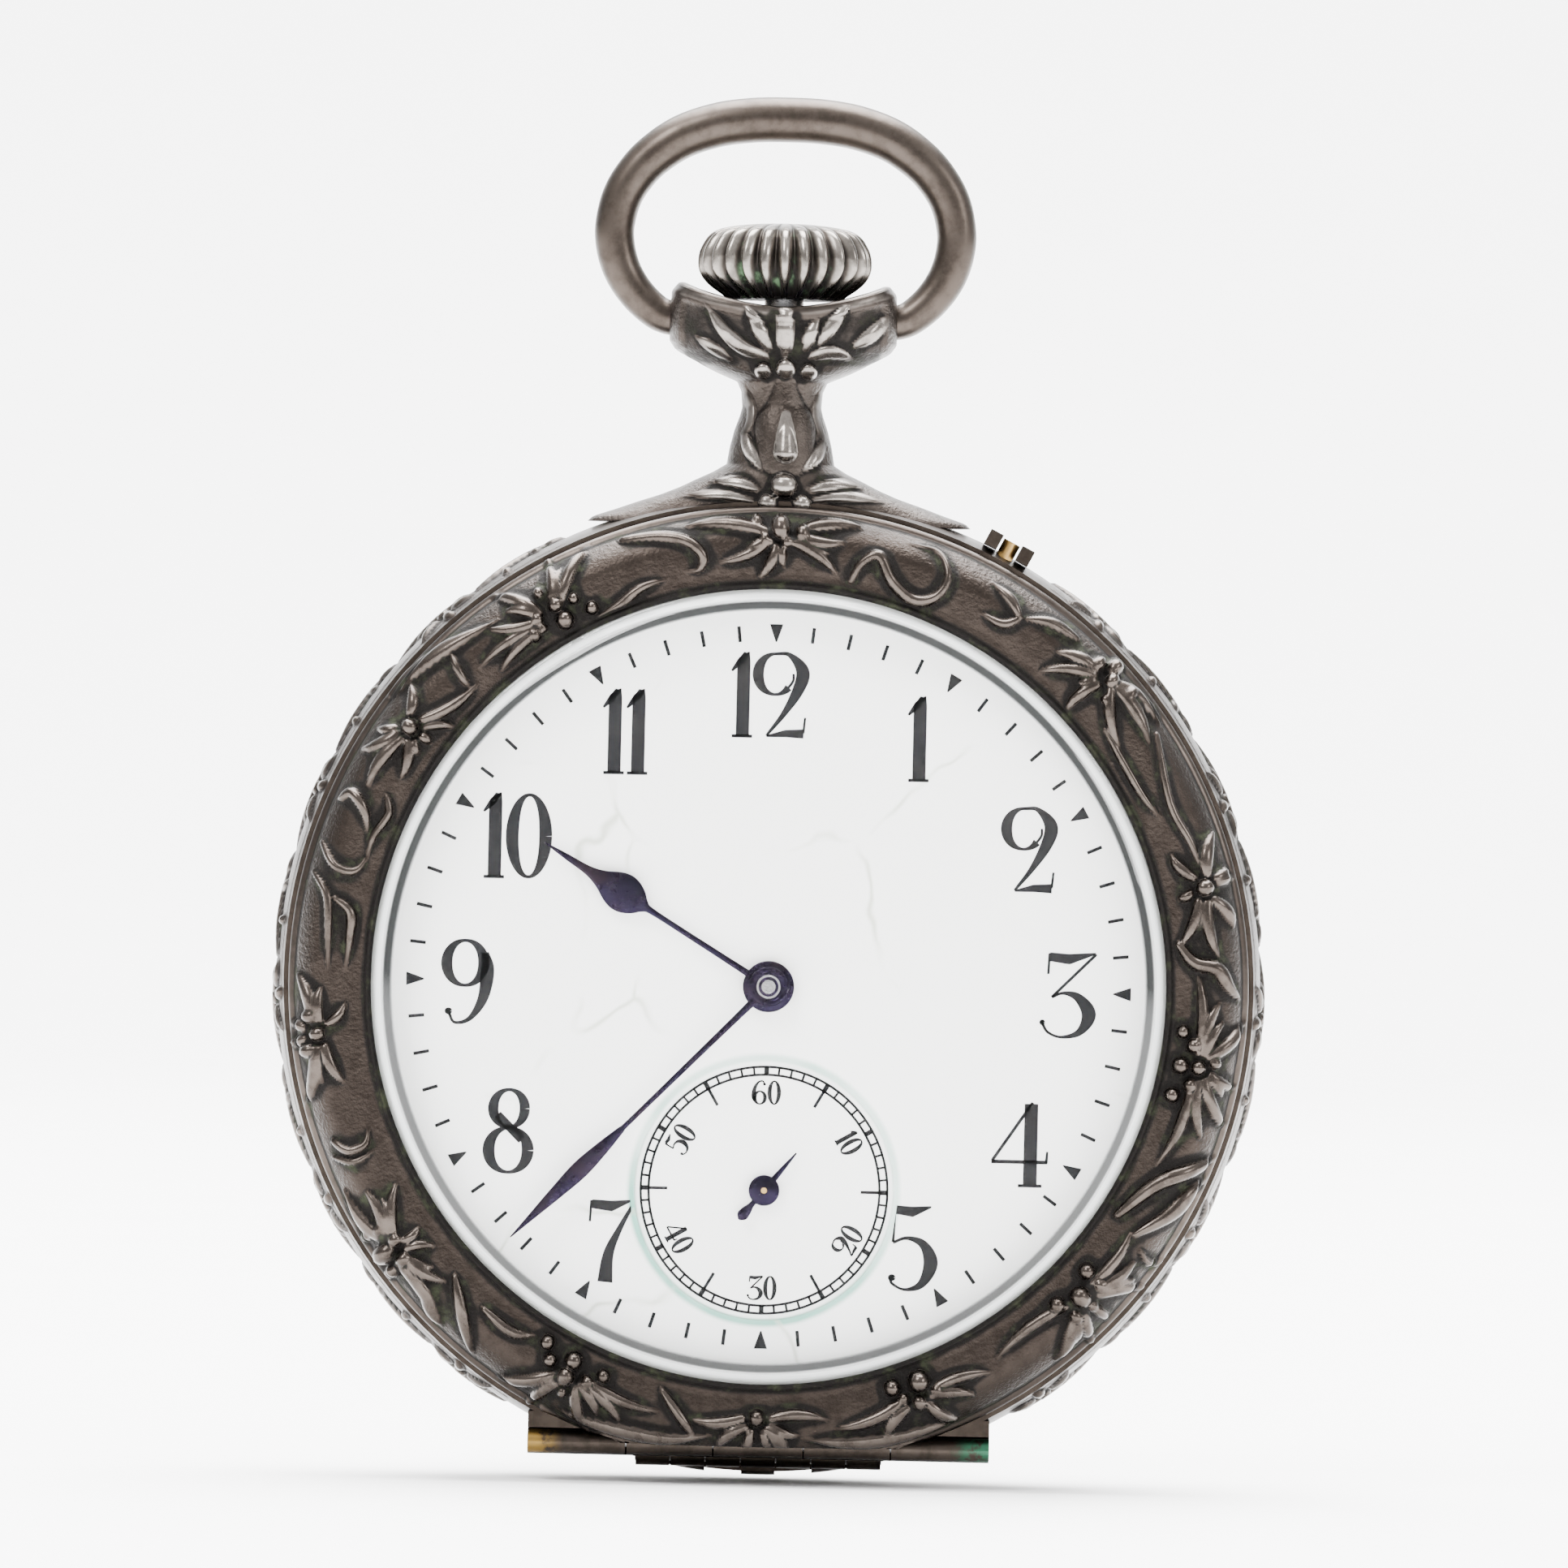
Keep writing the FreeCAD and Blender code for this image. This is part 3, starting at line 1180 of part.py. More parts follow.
def make_pallet_stones():
    """Two ruby stones let into the ends of the arms, just clear of the wheel's teeth."""
    stones = []
    for side in (-1, 1):
        tip = offset(escape_at, escape_radius + 0.24, pallet_angle + side * 33)
        root = offset(escape_at, escape_radius + 0.9, pallet_angle + side * 33)
        stones.append(bar(root, tip, 0.14, 0.14, fork_low - 0.3, fork_low))
    return Part.makeCompound(stones)


def make_balance_wheel():
    """Balance with two arms, a rim and small timing screws round it."""
    rim = ring(balance_at, balance_radius - 0.95, balance_radius - 0.35, balance_low, balance_high)
    arms = bar(offset(balance_at, balance_radius - 0.6, 20), offset(balance_at, balance_radius - 0.6, 200),
               0.35, 0.35, balance_low + 0.15, balance_low + 0.4)
    hub = disc(balance_at, 0.8, balance_low + 0.1, balance_low + 0.5)
    pieces = [rim, arms, hub]
    middle = (balance_low + balance_high) / 2
    count = 14
    for index in range(count):
        angle = 20 + 360.0 / count * (index + 0.5)
        start = offset(balance_at, balance_radius - 0.5, angle)
        along = Vector(math.cos(math.radians(angle)), math.sin(math.radians(angle)), 0)
        pieces.append(Part.makeCylinder(0.24, 0.5, Vector(start[0], start[1], middle), along))
    return fuse(pieces).cut(disc(balance_at, arbor_radius, 0, 20))


def make_balance_staff():
    """Staff with its roller, impulse pin and the collet of the hairspring."""
    staff = disc(balance_at, arbor_radius, bridge_front + 0.05, plate_back - 0.1)
    pivots = disc(balance_at, pivot_radius - 0.03, bridge_back + 0.05, plate_front - 0.05)
    roller = disc(balance_at, 1.05, roller_low, roller_high)
    pin = disc(offset(balance_at, impulse_radius, balance_angle + 180), 0.13, roller_high - 0.1, fork_high)
    collet = disc(balance_at, 0.6, bridge_front + 0.1, bridge_front + 0.4)
    return fuse([staff, pivots, roller, pin, collet])


def make_hairspring():
    """Flat spiral between the collet and the stud of the cock."""
    return spiral_band(balance_at, 0.68, 3.0, hairspring_thickness, hairspring_turns, stud_angle,
                       bridge_front + 0.12, bridge_front + 0.36)


def make_regulator():
    """Index on the cock that turns about the balance jewel."""
    low, high = bridge_back - 0.22, bridge_back - 0.02
    tail = bar(balance_at, offset(balance_at, 5.2, 35), 0.5, 0.12, low, high)
    return fuse([disc(balance_at, 1.2, low, high), tail]).cut(disc(balance_at, jewel_radius, 0, 20))


def make_escapement():
    """Write the escapement."""
    save("pallet_fork", make_pallet_fork())
    save("pallet_stones", make_pallet_stones())
    save("balance_wheel", make_balance_wheel())
    save("balance_staff", make_balance_staff())
    save("hairspring", make_hairspring())
    save("regulator", make_regulator())


# ================================================================ dial side
def make_cannon_pinion():
    """Friction pinion on the centre arbor; its tube carries the minute hand."""
    return fuse([gear(centre, cannon_leaves, motion_module, cannon_phase, motion_back, motion_mid + 0.02),
                 disc(centre, minute_tube_radius, motion_mid, minute_hand_height + hand_thickness)]).cut(
        disc(centre, arbor_radius, 0, 20))


def make_minute_wheel():
    """Minute wheel with its pinion, on a stud of the plate."""
    hour_module = 2 * minute_distance / (minute_pinion_leaves + hour_teeth)
    return fuse([
        gear(minute_at, minute_teeth, motion_module, minute_phase, motion_back, motion_mid),
        gear(minute_at, minute_pinion_leaves, hour_module, minute_pinion_phase,
             motion_mid, motion_front + 0.1),
    ]).cut(disc(minute_at, 0.3, 0, 20))


def make_hour_wheel():
    """Hour wheel; its tube carries the hour hand."""
    hour_module = 2 * minute_distance / (minute_pinion_leaves + hour_teeth)
    return fuse([gear(centre, hour_teeth, hour_module, hour_phase, motion_mid + 0.06, motion_front),
                 disc(centre, hour_tube_radius, motion_front, hour_hand_height + hand_thickness)]).cut(
        disc(centre, minute_tube_radius + running_clearance, 0, 20))


def make_dial():
    """Enamel dial with holes for the hands' arbors and the sunk seconds dial."""
    plate = disc(centre, dial_radius, dial_back, dial_front)
    feet = [disc(polar(18.4, a), 0.4, plate_front, dial_back) for a in (20, 148, -40)]
    holes = [disc(centre, hour_tube_radius + 0.13, 0, 20),
             disc(fourth_at, seconds_dial_radius, 0, dial_front + 1)]
    return cut(fuse([plate] + feet), holes)


def make_seconds_dial():
    """Small dial let into the main one at a lower level."""
    front = dial_front - seconds_dial_drop
    return disc(fourth_at, seconds_dial_radius, front - 0.4, front).cut(disc(fourth_at, 0.35, 0, 20))


def hand_blade(points, length_axis_angle, at, height):
    """Flat hand drawn pointing to 12, then turned clockwise."""
    blade = prism([(at[0] + x, at[1] + y) for x, y in points], height, height + hand_thickness)
    return turn(blade, at, -length_axis_angle)


def make_hour_hand():
    """Hand with a bulb before its tip."""
    hub = disc(centre, hour_hub_radius, hour_hand_height, hour_hand_height + hand_thickness)
    stalk = hand_blade([(-0.3, 0), (-0.2, 7.7), (0.2, 7.7), (0.3, 0)],
                       hour_hand_angle, centre, hour_hand_height)
    bulb_at = offset(centre, 8.8, 90 - hour_hand_angle)
    bulb = disc(bulb_at, 1.0, hour_hand_height, hour_hand_height + hand_thickness)
    tip = hand_blade([(-0.65, 9.4), (-0.22, 10.6), (0, hour_hand_length), (0.22, 10.6), (0.65, 9.4)],
                     hour_hand_angle, centre, hour_hand_height)
    return fuse([hub, stalk, bulb, tip]).cut(disc(centre, hour_tube_radius, 0, 20))


def make_minute_hand():
    """Long hand that widens before its tip."""
    hub = disc(centre, minute_hub_radius, minute_hand_height, minute_hand_height + hand_thickness)
    blade = hand_blade([(-0.2, 0), (-0.14, 10.1), (-0.45, 13.3), (0, minute_hand_length), (0.45, 13.3),
                        (0.14, 10.1), (0.2, 0)], minute_hand_angle, centre, minute_hand_height)
    return fuse([hub, blade]).cut(disc(centre, minute_tube_radius, 0, 20))


def make_seconds_hand():
    """Small hand with a balanced tail."""
    hub = disc(fourth_at, 0.78, seconds_hand_height, seconds_hand_height + hand_thickness)
    blade = hand_blade([(-0.12, 0), (-0.05, seconds_hand_length), (0.05, seconds_hand_length), (0.12, 0),
                        (0.3, -seconds_hand_tail), (-0.3, -seconds_hand_tail)],
                       seconds_hand_angle, fourth_at, seconds_hand_height)
    return fuse([hub, blade]).cut(disc(fourth_at, pivot_radius, 0, 20))


def make_dial_side():
    """Write the motion works, the dials and the hands."""
    save("cannon_pinion", make_cannon_pinion())
    save("minute_wheel", make_minute_wheel())
    save("hour_wheel", make_hour_wheel())
    save("dial", make_dial())
    save("seconds_dial", make_seconds_dial())
    save("hour_hand", make_hour_hand())
    save("minute_hand", make_minute_hand())
    save("seconds_hand", make_seconds_hand())


os.makedirs("parts", exist_ok=True)
make_case()
make_frame()
make_keyless()
make_train()
make_escapement()
make_dial_side()
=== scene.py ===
"""Visual model of a crown-wound pocket watch in an embossed silver case.

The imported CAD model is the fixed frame. The pieces made here carry the embossed,
turned and printed surfaces that the CAD nodes only block out, and every node that
stays visible gets a material of its own.

Shapes are worked out in millimetres in the watchmaker's bench frame, the watch on
its back: X to three o'clock, Y to twelve, Z out of the dial. `bench_mesh` turns
that into the frame's metres with (x, y, z) -> (x, -z, y) / 1000.
"""

import json
import logging
import math
from dataclasses import dataclass, field
from enum import Enum

import bpy
import numpy as np
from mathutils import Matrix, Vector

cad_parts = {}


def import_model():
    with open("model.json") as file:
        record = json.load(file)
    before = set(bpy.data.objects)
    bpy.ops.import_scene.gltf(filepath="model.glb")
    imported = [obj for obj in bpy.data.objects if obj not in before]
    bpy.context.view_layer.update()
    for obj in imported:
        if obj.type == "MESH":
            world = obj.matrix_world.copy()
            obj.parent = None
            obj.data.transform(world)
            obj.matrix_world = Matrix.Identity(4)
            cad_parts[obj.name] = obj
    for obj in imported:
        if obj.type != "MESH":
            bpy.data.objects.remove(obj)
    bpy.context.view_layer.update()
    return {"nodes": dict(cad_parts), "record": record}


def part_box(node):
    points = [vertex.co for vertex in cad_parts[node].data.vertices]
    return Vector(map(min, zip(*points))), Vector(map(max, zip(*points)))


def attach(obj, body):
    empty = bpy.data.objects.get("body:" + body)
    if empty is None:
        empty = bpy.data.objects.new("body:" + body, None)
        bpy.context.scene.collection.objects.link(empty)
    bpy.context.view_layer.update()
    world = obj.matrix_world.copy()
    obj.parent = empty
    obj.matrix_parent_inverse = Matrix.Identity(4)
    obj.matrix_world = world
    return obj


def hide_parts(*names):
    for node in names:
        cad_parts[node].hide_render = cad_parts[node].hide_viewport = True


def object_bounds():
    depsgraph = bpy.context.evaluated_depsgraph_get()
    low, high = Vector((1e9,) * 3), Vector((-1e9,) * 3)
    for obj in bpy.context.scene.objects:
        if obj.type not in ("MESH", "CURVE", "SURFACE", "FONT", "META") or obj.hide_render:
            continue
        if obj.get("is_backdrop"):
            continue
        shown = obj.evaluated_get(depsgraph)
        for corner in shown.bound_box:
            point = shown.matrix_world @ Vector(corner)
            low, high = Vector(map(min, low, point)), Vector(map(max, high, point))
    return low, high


LOG = logging.getLogger("watch")
MM = 1000.0  # millimetres in a metre
Array = np.ndarray
Stroke = tuple[Array, Array, float]


# ---------------------------------------------------------------- places


def bench_box(node: str) -> tuple[Array, Array]:
    """Box of a CAD node in the bench frame.

    Args:
        node: name of the node.

    Returns:
        Lowest and highest corner in millimetres.
    """
    low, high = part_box(node)
    return (
        np.array([low[0], low[2], -high[1]]) * MM,
        np.array([high[0], high[2], -low[1]]) * MM,
    )


# ---------------------------------------------------------------- meshes


def looped(rings: Array) -> tuple[Array, Array]:
    """Faces of a grid that closes both ways, as a ring of closed sections.

    Args:
        rings: points of shape (sections, points of a section, 3).

    Returns:
        Points of shape (n, 3) and quads of shape (m, 4).
    """
    rows, cols = rings.shape[:2]
    index = np.arange(rows * cols).reshape(rows, cols)
    along, around = np.roll(index, -1, 0), np.roll(index, -1, 1)
    both = np.roll(along, -1, 1)
    return rings.reshape(-1, 3), np.stack([index, around, both, along], -1).reshape(-1, 4)


def capped(rings: Array) -> tuple[Array, Array]:
    """Faces of a tube of closed sections, each end closed on the mean of its section.

    Args:
        rings: points of shape (sections, points of a section, 3).

    Returns:
        Points and faces of four corners; a cap's face repeats its last corner.
    """
    rows, cols = rings.shape[:2]
    index = np.arange(rows * cols).reshape(rows, cols)
    around = np.roll(index, -1, 1)
    quads = np.stack([index[:-1], around[:-1], around[1:], index[1:]], -1).reshape(-1, 4)
    first, last = rows * cols, rows * cols + 1
    low = np.stack([around[0], index[0], np.full(cols, first), np.full(cols, first)], -1)
    high = np.stack([index[-1], around[-1], np.full(cols, last), np.full(cols, last)], -1)
    points = np.vstack([rings.reshape(-1, 3), rings[0].mean(0), rings[-1].mean(0)])
    return points, np.vstack([quads, low, high])


def joined(parts: list[tuple[Array, Array]]) -> tuple[Array, Array]:
    """Several closed surfaces as one list of points and one of faces, each facing out.

    Args:
        parts: points and faces of each surface.

    Returns:
        All points and all faces.
    """
    points, faces, start = [], [], 0
    for own, corners in parts:
        a, b, c, d = (own[corners[:, k]] for k in range(4))
        volume = (np.cross(b - a, c - a) * a).sum() + (np.cross(c - a, d - a) * a).sum()
        faces.append((corners if volume > 0 else corners[:, ::-1]) + start)
        points.append(own)
        start += len(own)
    return np.vstack(points), np.vstack(faces)


def bench_mesh(
    name: str,
    parts: list[tuple[Array, Array]],
    values: dict[str, Array] | None = None,
    smooth: bool = True,
) -> bpy.types.Object:
    """A mesh object from bench points: x, -z, y in metres, object at the origin.

    Args:
        name: name of the piece.
        parts: closed surfaces as points and faces.
        values: per-point numbers that the finish reads, by name.
        smooth: whether the faces are shaded smooth.

    Returns:
        The new object, linked to the scene.
    """
    points, faces = joined(parts)
    metres = np.stack([points[:, 0], -points[:, 2], points[:, 1]], -1) / MM
    corners = [list(dict.fromkeys(face)) for face in faces.tolist()]
    mesh = bpy.data.meshes.new(name)
    mesh.from_pydata(metres.tolist(), [], corners)
    mesh.polygons.foreach_set("use_smooth", np.full(len(corners), smooth))
    for label, numbers in (values or {}).items():
        layer = mesh.attributes.new(label, "FLOAT", "POINT")
        filled = np.zeros(len(points))
        filled[: len(numbers)] = numbers
        layer.data.foreach_set("value", filled.astype(np.float32))
    mesh.update()
    piece = bpy.data.objects.new(name, mesh)
    bpy.context.scene.collection.objects.link(piece)
    return piece


def smooth_line(points: Array, steps: int) -> Array:
    """Catmull-Rom curve through points: each span is a cubic on its four neighbours.

    Args:
        points: points of shape (n, k); any further columns are carried along.
        steps: parts that each span is cut into.

    Returns:
        Points along the curve.
    """
    points = np.asarray(points, float)
    ends = np.vstack([2 * points[0] - points[1], points, 2 * points[-1] - points[-2]])
    t = (np.arange(steps) / steps)[None, :, None]
    a, b, c, d = (ends[k : len(ends) - 3 + k, None, :] for k in range(4))
    curve = 0.5 * (2 * b + (c - a) * t + (2 * a - 5 * b + 4 * c - d) * t**2 + (3 * b - a - 3 * c + d) * t**3)
    return np.vstack([curve.reshape(-1, points.shape[1]), points[-1:]])


# ---------------------------------------------------------------- embossing


def line_stroke(points: list[tuple[float, ...]], width: float, height: float = 1.0) -> Stroke:
    """A raised line, fullest at two fifths of its length and pointed at its far end.

    Args:
        points: plan points that it passes through.
        width: full width in millimetres.
        height: rise as a share of the half width.

    Returns:
        Plan points, half widths and rise.
    """
    line = smooth_line(np.array(points), 5 if len(points) > 2 else 6)
    t = np.linspace(0, 1, len(line))
    return line, width / 2 * np.clip(0.55 + 1.5 * t * (1 - t) * 1.35 - 0.45 * t**3, 0.12, None), height


def petal(x: float, y: float, turn: float, reach: float, width: float = 0.66, curl: float = 0.12) -> Stroke:
    """A spiky petal: a line from near the flower's heart, bent sideways by a share of its reach.

    Args:
        x: heart's place across.
        y: heart's place up.
        turn: direction in degrees, anticlockwise from three o'clock.
        reach: distance of the tip.
        width: full width.
        curl: sideways bend as a share of the reach.

    Returns:
        Plan points, half widths and rise.
    """
    way = np.array([math.cos(math.radians(turn)), math.sin(math.radians(turn))])
    side = np.array([-way[1], way[0]]) * (curl if turn % 60 < 30 else -curl)
    t = np.linspace(0, 1, 7)[:, None]
    line = np.array([x, y]) + way * (0.75 + (reach - 0.75) * t) + side * reach * (t * (1 - t) * 2)
    t = t[:, 0]
    half = width / 2 * (0.5 + 0.62 * np.sin(np.pi * np.minimum(t * 0.72 + 0.18,
        1)) - (0.1 + 0.07 * reach) * t**2)
    return line, np.clip(half, 0.08, None), 1.05


def bead(x: float, y: float, radius: float) -> Stroke:
    """A round bead at a place, a short line of one radius."""
    return np.array([[x, y - radius * 0.05], [x, y + radius * 0.05]]), np.array([radius,
        radius]) * 0.92, 1.25


def flower(x: float, y: float, petals: list[tuple], beads: list[tuple],
           width: float = 0.66) -> list[Stroke]:
    """A flower of petals round a cluster of beads.

    Args:
        x: heart's place across.
        y: heart's place up.
        petals: direction in degrees and reach of each petal.
        beads: offset across, offset up and radius of each bead.
        width: full width of a petal.

    Returns:
        The flower's strokes.
    """
    made = [petal(x, y, turn, reach, width if reach > 2.2 else width * 0.85) for turn, reach in petals]
    return made + [bead(x + dx, y + dy, radius) for dx, dy, radius in beads]


def emboss(plan: Array, strokes: list[Stroke]) -> Array:
    """Height of the embossing over plan points.

    Each stroke is a chain of discs: at the nearest place of its line, of half width w,
    a point at distance d stands rise * w * sqrt(1 - (d / w)^2) high. The highest wins.

    Args:
        plan: points of shape (n, 2).
        strokes: the raised lines.

    Returns:
        Heights of shape (n,).
    """
    height = np.zeros(len(plan))
    for line, half, rise in strokes:
        reach = half.max() + 0.05
        inside = np.flatnonzero(((plan > line.min(0) - reach) & (plan < line.max(0) + reach)).all(1))
        if not len(inside):
            continue
        near = plan[inside]
        best = np.zeros(len(inside))
        for start, end, w0, w1 in zip(line[:-1], line[1:], half[:-1], half[1:]):
            span = end - start
            t = np.clip((near - start) @ span / max(span @ span, 1e-12), 0, 1)
            away = ((near - start - t[:, None] * span) ** 2).sum(1)
            w = w0 + (w1 - w0) * t
            best = np.maximum(best, rise * w * np.sqrt(np.clip(1 - away / w**2, 0, 1)))
        height[inside] = np.maximum(height[inside], best)
    return height


def hollows(height: Array, reach: int, gain: float = 8.0) -> Array:
    """How deep each place lies among its neighbours: the boxed mean less the height.

    Args:
        height: heights on a grid whose first axis closes on itself.
        reach: half the box in grid steps.
        gain: depth for each millimetre below the mean.

    Returns:
        Values from 0, open, to 1, deep, on the same grid; the silver darkens with them as oxide and as
        painted shade.
    """
    mean = height.copy()
    for axis in (0, 1):
        mean = sum(np.roll(mean, k, axis) for k in range(-reach, reach + 1)) / (2 * reach + 1)
    return np.clip((mean - height) * gain, 0, 1)


# ---------------------------------------------------------------- shader kit


class Wire:
    """A socket of a material's tree; arithmetic on it adds Math nodes."""

    def __init__(self, kit: "Kit", socket: bpy.types.NodeSocket) -> None:
        self.kit, self.socket = kit, socket

    def maths(self, operation: str, *values: "Wire | float") -> "Wire":
        """A Math node of an operation on this wire and further values."""
        return self.kit.node("Math", {"operation": operation}, dict(enumerate((self, *values))))

    def __add__(self, other: "Wire | float") -> "Wire":
        """Sum."""
        return self.maths("ADD", other)

    def __sub__(self, other: "Wire | float") -> "Wire":
        """Difference."""
        return self.maths("SUBTRACT", other)

    def __mul__(self, other: "Wire | float") -> "Wire":
        """Product."""
        return self.maths("MULTIPLY", other)

    def __rsub__(self, other: float) -> "Wire":
        """A number less this wire."""
        return self.kit.node("Math", {"operation": "SUBTRACT"}, {0: other, 1: self})

    __radd__, __rmul__ = __add__, __mul__

    def __pow__(self, other: float) -> "Wire":
        """Power."""
        return self.maths("POWER", other)

    def least(self, other: "Wire | float") -> "Wire":
        """The smaller of the two."""
        return self.maths("MINIMUM", other)

    def step(self, low: float, high: float) -> "Wire":
        """0 below low and 1 above high, smooth between; high may be the lower one."""
        return self.kit.node(
            "MapRange",
            {"interpolation_type": "SMOOTHSTEP"},
            {0: self, 1: low, 2: high, 3: 0.0, 4: 1.0},
        )


class Kit:
    """Builds one material: a tree, its Principled shader and the patterns of a finish."""

    def __init__(self, name: str) -> None:
        """Starts an empty material of a name."""
        self.material = bpy.data.materials.new(name)
        self.material.use_nodes = True
        self.tree = self.material.node_tree
        self.tree.nodes.clear()
        self.place = self.node("TexCoord", output="Object")

    def node(
        self,
        kind: str,
        settings: dict | None = None,
        values: dict | None = None,
        output: int | str = 0,
    ) -> Wire:
        """A node with its settings set first, then its sockets' values or links.

        Args:
            kind: the node's type without its ShaderNode prefix.
            settings: attributes of the node.
            values: number, vector, colour or wire for each input, by name or number.
            output: the output that is returned.

        Returns:
            The wire of that output.
        """
        made = self.tree.nodes.new("ShaderNode" + kind)
        for key, value in (settings or {}).items():
            setattr(made, key, value)
        for key, value in (values or {}).items():
            if isinstance(value, Wire):
                self.tree.links.new(value.socket, made.inputs[key])
            else:
                made.inputs[key].default_value = value
        return Wire(self, made.outputs[output])

    def noise(self, scale: float, detail: float = 4.0, rough: float = 0.55,
              stretch: tuple | None = None) -> Wire:
        """Noise of a scale per metre over Object coordinates, stretched if asked."""
        where = self.place
        if stretch:
            where = self.node("Mapping", None, {"Vector": where, "Scale": stretch})
        return self.node("TexNoise", None, {"Vector": where, "Scale": scale, "Detail": detail,
                                            "Roughness": rough})

    def mix(self, factor: "Wire | float", first: "Wire | tuple", second: "Wire | tuple") -> Wire:
        """Colour between two colours."""
        pick = {"Factor": factor} if not isinstance(factor, Wire) else {0: factor}
        pick |= {6: first if isinstance(first, Wire) else (*first, 1.0)}
        pick |= {7: second if isinstance(second, Wire) else (*second, 1.0)}
        return self.node("Mix", {"data_type": "RGBA"}, pick, 2)

    def value(self, name: str) -> Wire:
        """A per-point number of the piece."""
        return self.node("Attribute", {"attribute_name": name}, output="Fac")

    def axis(self, letter: str) -> Wire:
        """One Object coordinate in metres."""
        return self.node("SeparateXYZ", None, {0: self.place}, letter)

    def bump(self, height: Wire, depth: float, strength: float = 1.0) -> Wire:
        """Normal of a height field of a depth in metres."""
        return self.node("Bump", None, {"Height": height, "Distance": depth, "Strength": strength},
                         "Normal")

    def finish(self, values: dict) -> bpy.types.Material:
        """Adds the Principled shader with its values and ends the tree.

        Args:
            values: the shader's inputs by name.

        Returns:
            The finished material.
        """
        shader = self.node("BsdfPrincipled", None, values)
        end = self.tree.nodes.new("ShaderNodeOutputMaterial")
        self.tree.links.new(shader.socket, end.inputs["Surface"])
        return self.material


# ---------------------------------------------------------------- finishes


@dataclass(frozen=True)
class Silver:
    """Old silver: dark oxide in the hollows and bright on the heights from rubbing, with painted shade in the
    hollows and painted highlight on the heights.

    Its hollows, read per point, darken it as oxide and grime and as painted shade; its relief, read per
    point, brightens it as wear from rubbing and as a painted highlight; patches of two noises vary both, and
    green salts sit in the deepest hollows.
    """

    name: str
    ground: tuple[float, float, float] = (0.0215, 0.0168, 0.0142)
    rubbed_and_highlight: tuple[float, float, float] = (0.062, 0.051, 0.044)
    grime_and_shade: tuple[float, float, float] = (0.004, 0.003, 0.0025)
    salts: tuple[float, float, float] = (0.05, 0.06, 0.03)
    embossed: bool = True
    wear: float = 0.16
    stipple: float = 0.00006
    green: float = 0.35
    hinge_half: float = 0.0

    def build(self) -> bpy.types.Material:
        """Makes the material."""
        kit = Kit(self.name)
        broad = kit.noise(160.0, 3.0)
        fine = kit.noise(900.0, 6.0, 0.65)
        grain = kit.noise(5200.0, 3.0, 0.6)
        relief = kit.value("relief") if self.embossed else broad * 0.0
        hollow_shade_and_oxide = kit.value("hollow_shade_and_oxide") if self.embossed else broad * 0.0
        # Brighter on the relief: wear from rubbing, and a painted highlight on the heights as well; the broad
        # noise adds random wear.
        wear_and_highlight = (relief * 1.1 + (fine - 0.5) * 0.7 + (broad - 0.5) * 0.9).step(0.25,
            0.95) + self.wear * broad
        colour = kit.mix(wear_and_highlight.least(1.0), self.ground, self.rubbed_and_highlight)
        tone = kit.mix(fine.step(0.40, 0.68) * 0.55, colour, tuple(c * 0.55 for c in self.ground))
        # Darker in the hollows: oxide and grime, and painted shade in the hollows as well.
        shade_and_oxide = (hollow_shade_and_oxide * 1.1 + (fine - 0.55) * 0.8).step(0.12, 0.7)
        tone = kit.mix(shade_and_oxide, tone, self.grime_and_shade)
        stain = (hollow_shade_and_oxide + broad - 0.3).step(0.45, 0.85) * fine.step(0.5, 0.7) * self.green
        tone = kit.mix(stain, tone, self.salts)
        if self.hinge_half:
            along = kit.axis("X") * (MM / self.hinge_half)
            tone = kit.mix(along.step(-0.84, -0.97) * fine.step(0.35, 0.5), tone, (0.20, 0.125, 0.035))
            tone = kit.mix(along.step(0.82, 0.95) * fine.step(0.4, 0.55), tone, (0.03, 0.10, 0.06))
        flat = 1.0 - relief.step(0.05, 0.35)
        height = grain * flat * (1.0 if self.embossed else 0.35) + fine * 0.4
        rough = 0.30 + fine * 0.16 + shade_and_oxide * 0.35 - wear_and_highlight.least(1.0) * 0.12
        return kit.finish(
            {
                "Base Color": tone,
                "Metallic": 1.0 - shade_and_oxide * 0.2,
                "Roughness": rough,
                "Normal": kit.bump(height, self.stipple),
            }
        )


@dataclass(frozen=True)
class Metal:
    """A worked metal: base colour, a tarnish in patches and brush or grain marks."""

    name: str
    base: tuple[float, float, float]
    tarnish: tuple[float, float, float]
    roughness: float = 0.3
    grain: float = 3000.0
    stretch: tuple[float, float, float] = (1.0, 1.0, 1.0)
    depth: float = 0.000004
    patches: float = 260.0

    def build(self) -> bpy.types.Material:
        """Makes the material."""
        kit = Kit(self.name)
        patch = kit.noise(self.patches, 5.0, 0.6)
        marks = kit.noise(self.grain, 2.0, 0.5, self.stretch)
        age = patch.step(0.42, 0.72)
        return kit.finish(
            {
                "Base Color": kit.mix(age * 0.75 + marks * 0.15, self.base, self.tarnish),
                "Roughness": self.roughness + age * 0.15 + (marks - 0.5) * 0.16,
                "Normal": kit.bump(marks, self.depth),
                **self.gloss(age),
            }
        )

    def gloss(self, age: Wire) -> dict:
        """How metallic the surface is: a little less under the tarnish."""
        return {"Metallic": 1.0 - age * 0.1}


@dataclass(frozen=True)
class Ink(Metal):
    """Printed black: the same patches and grain, with no metal and little gloss."""

    def gloss(self, age: Wire) -> dict:
        """No metal, whatever the age, and a low reflection."""
        return {"Metallic": 0.0, "Specular IOR Level": 0.12}


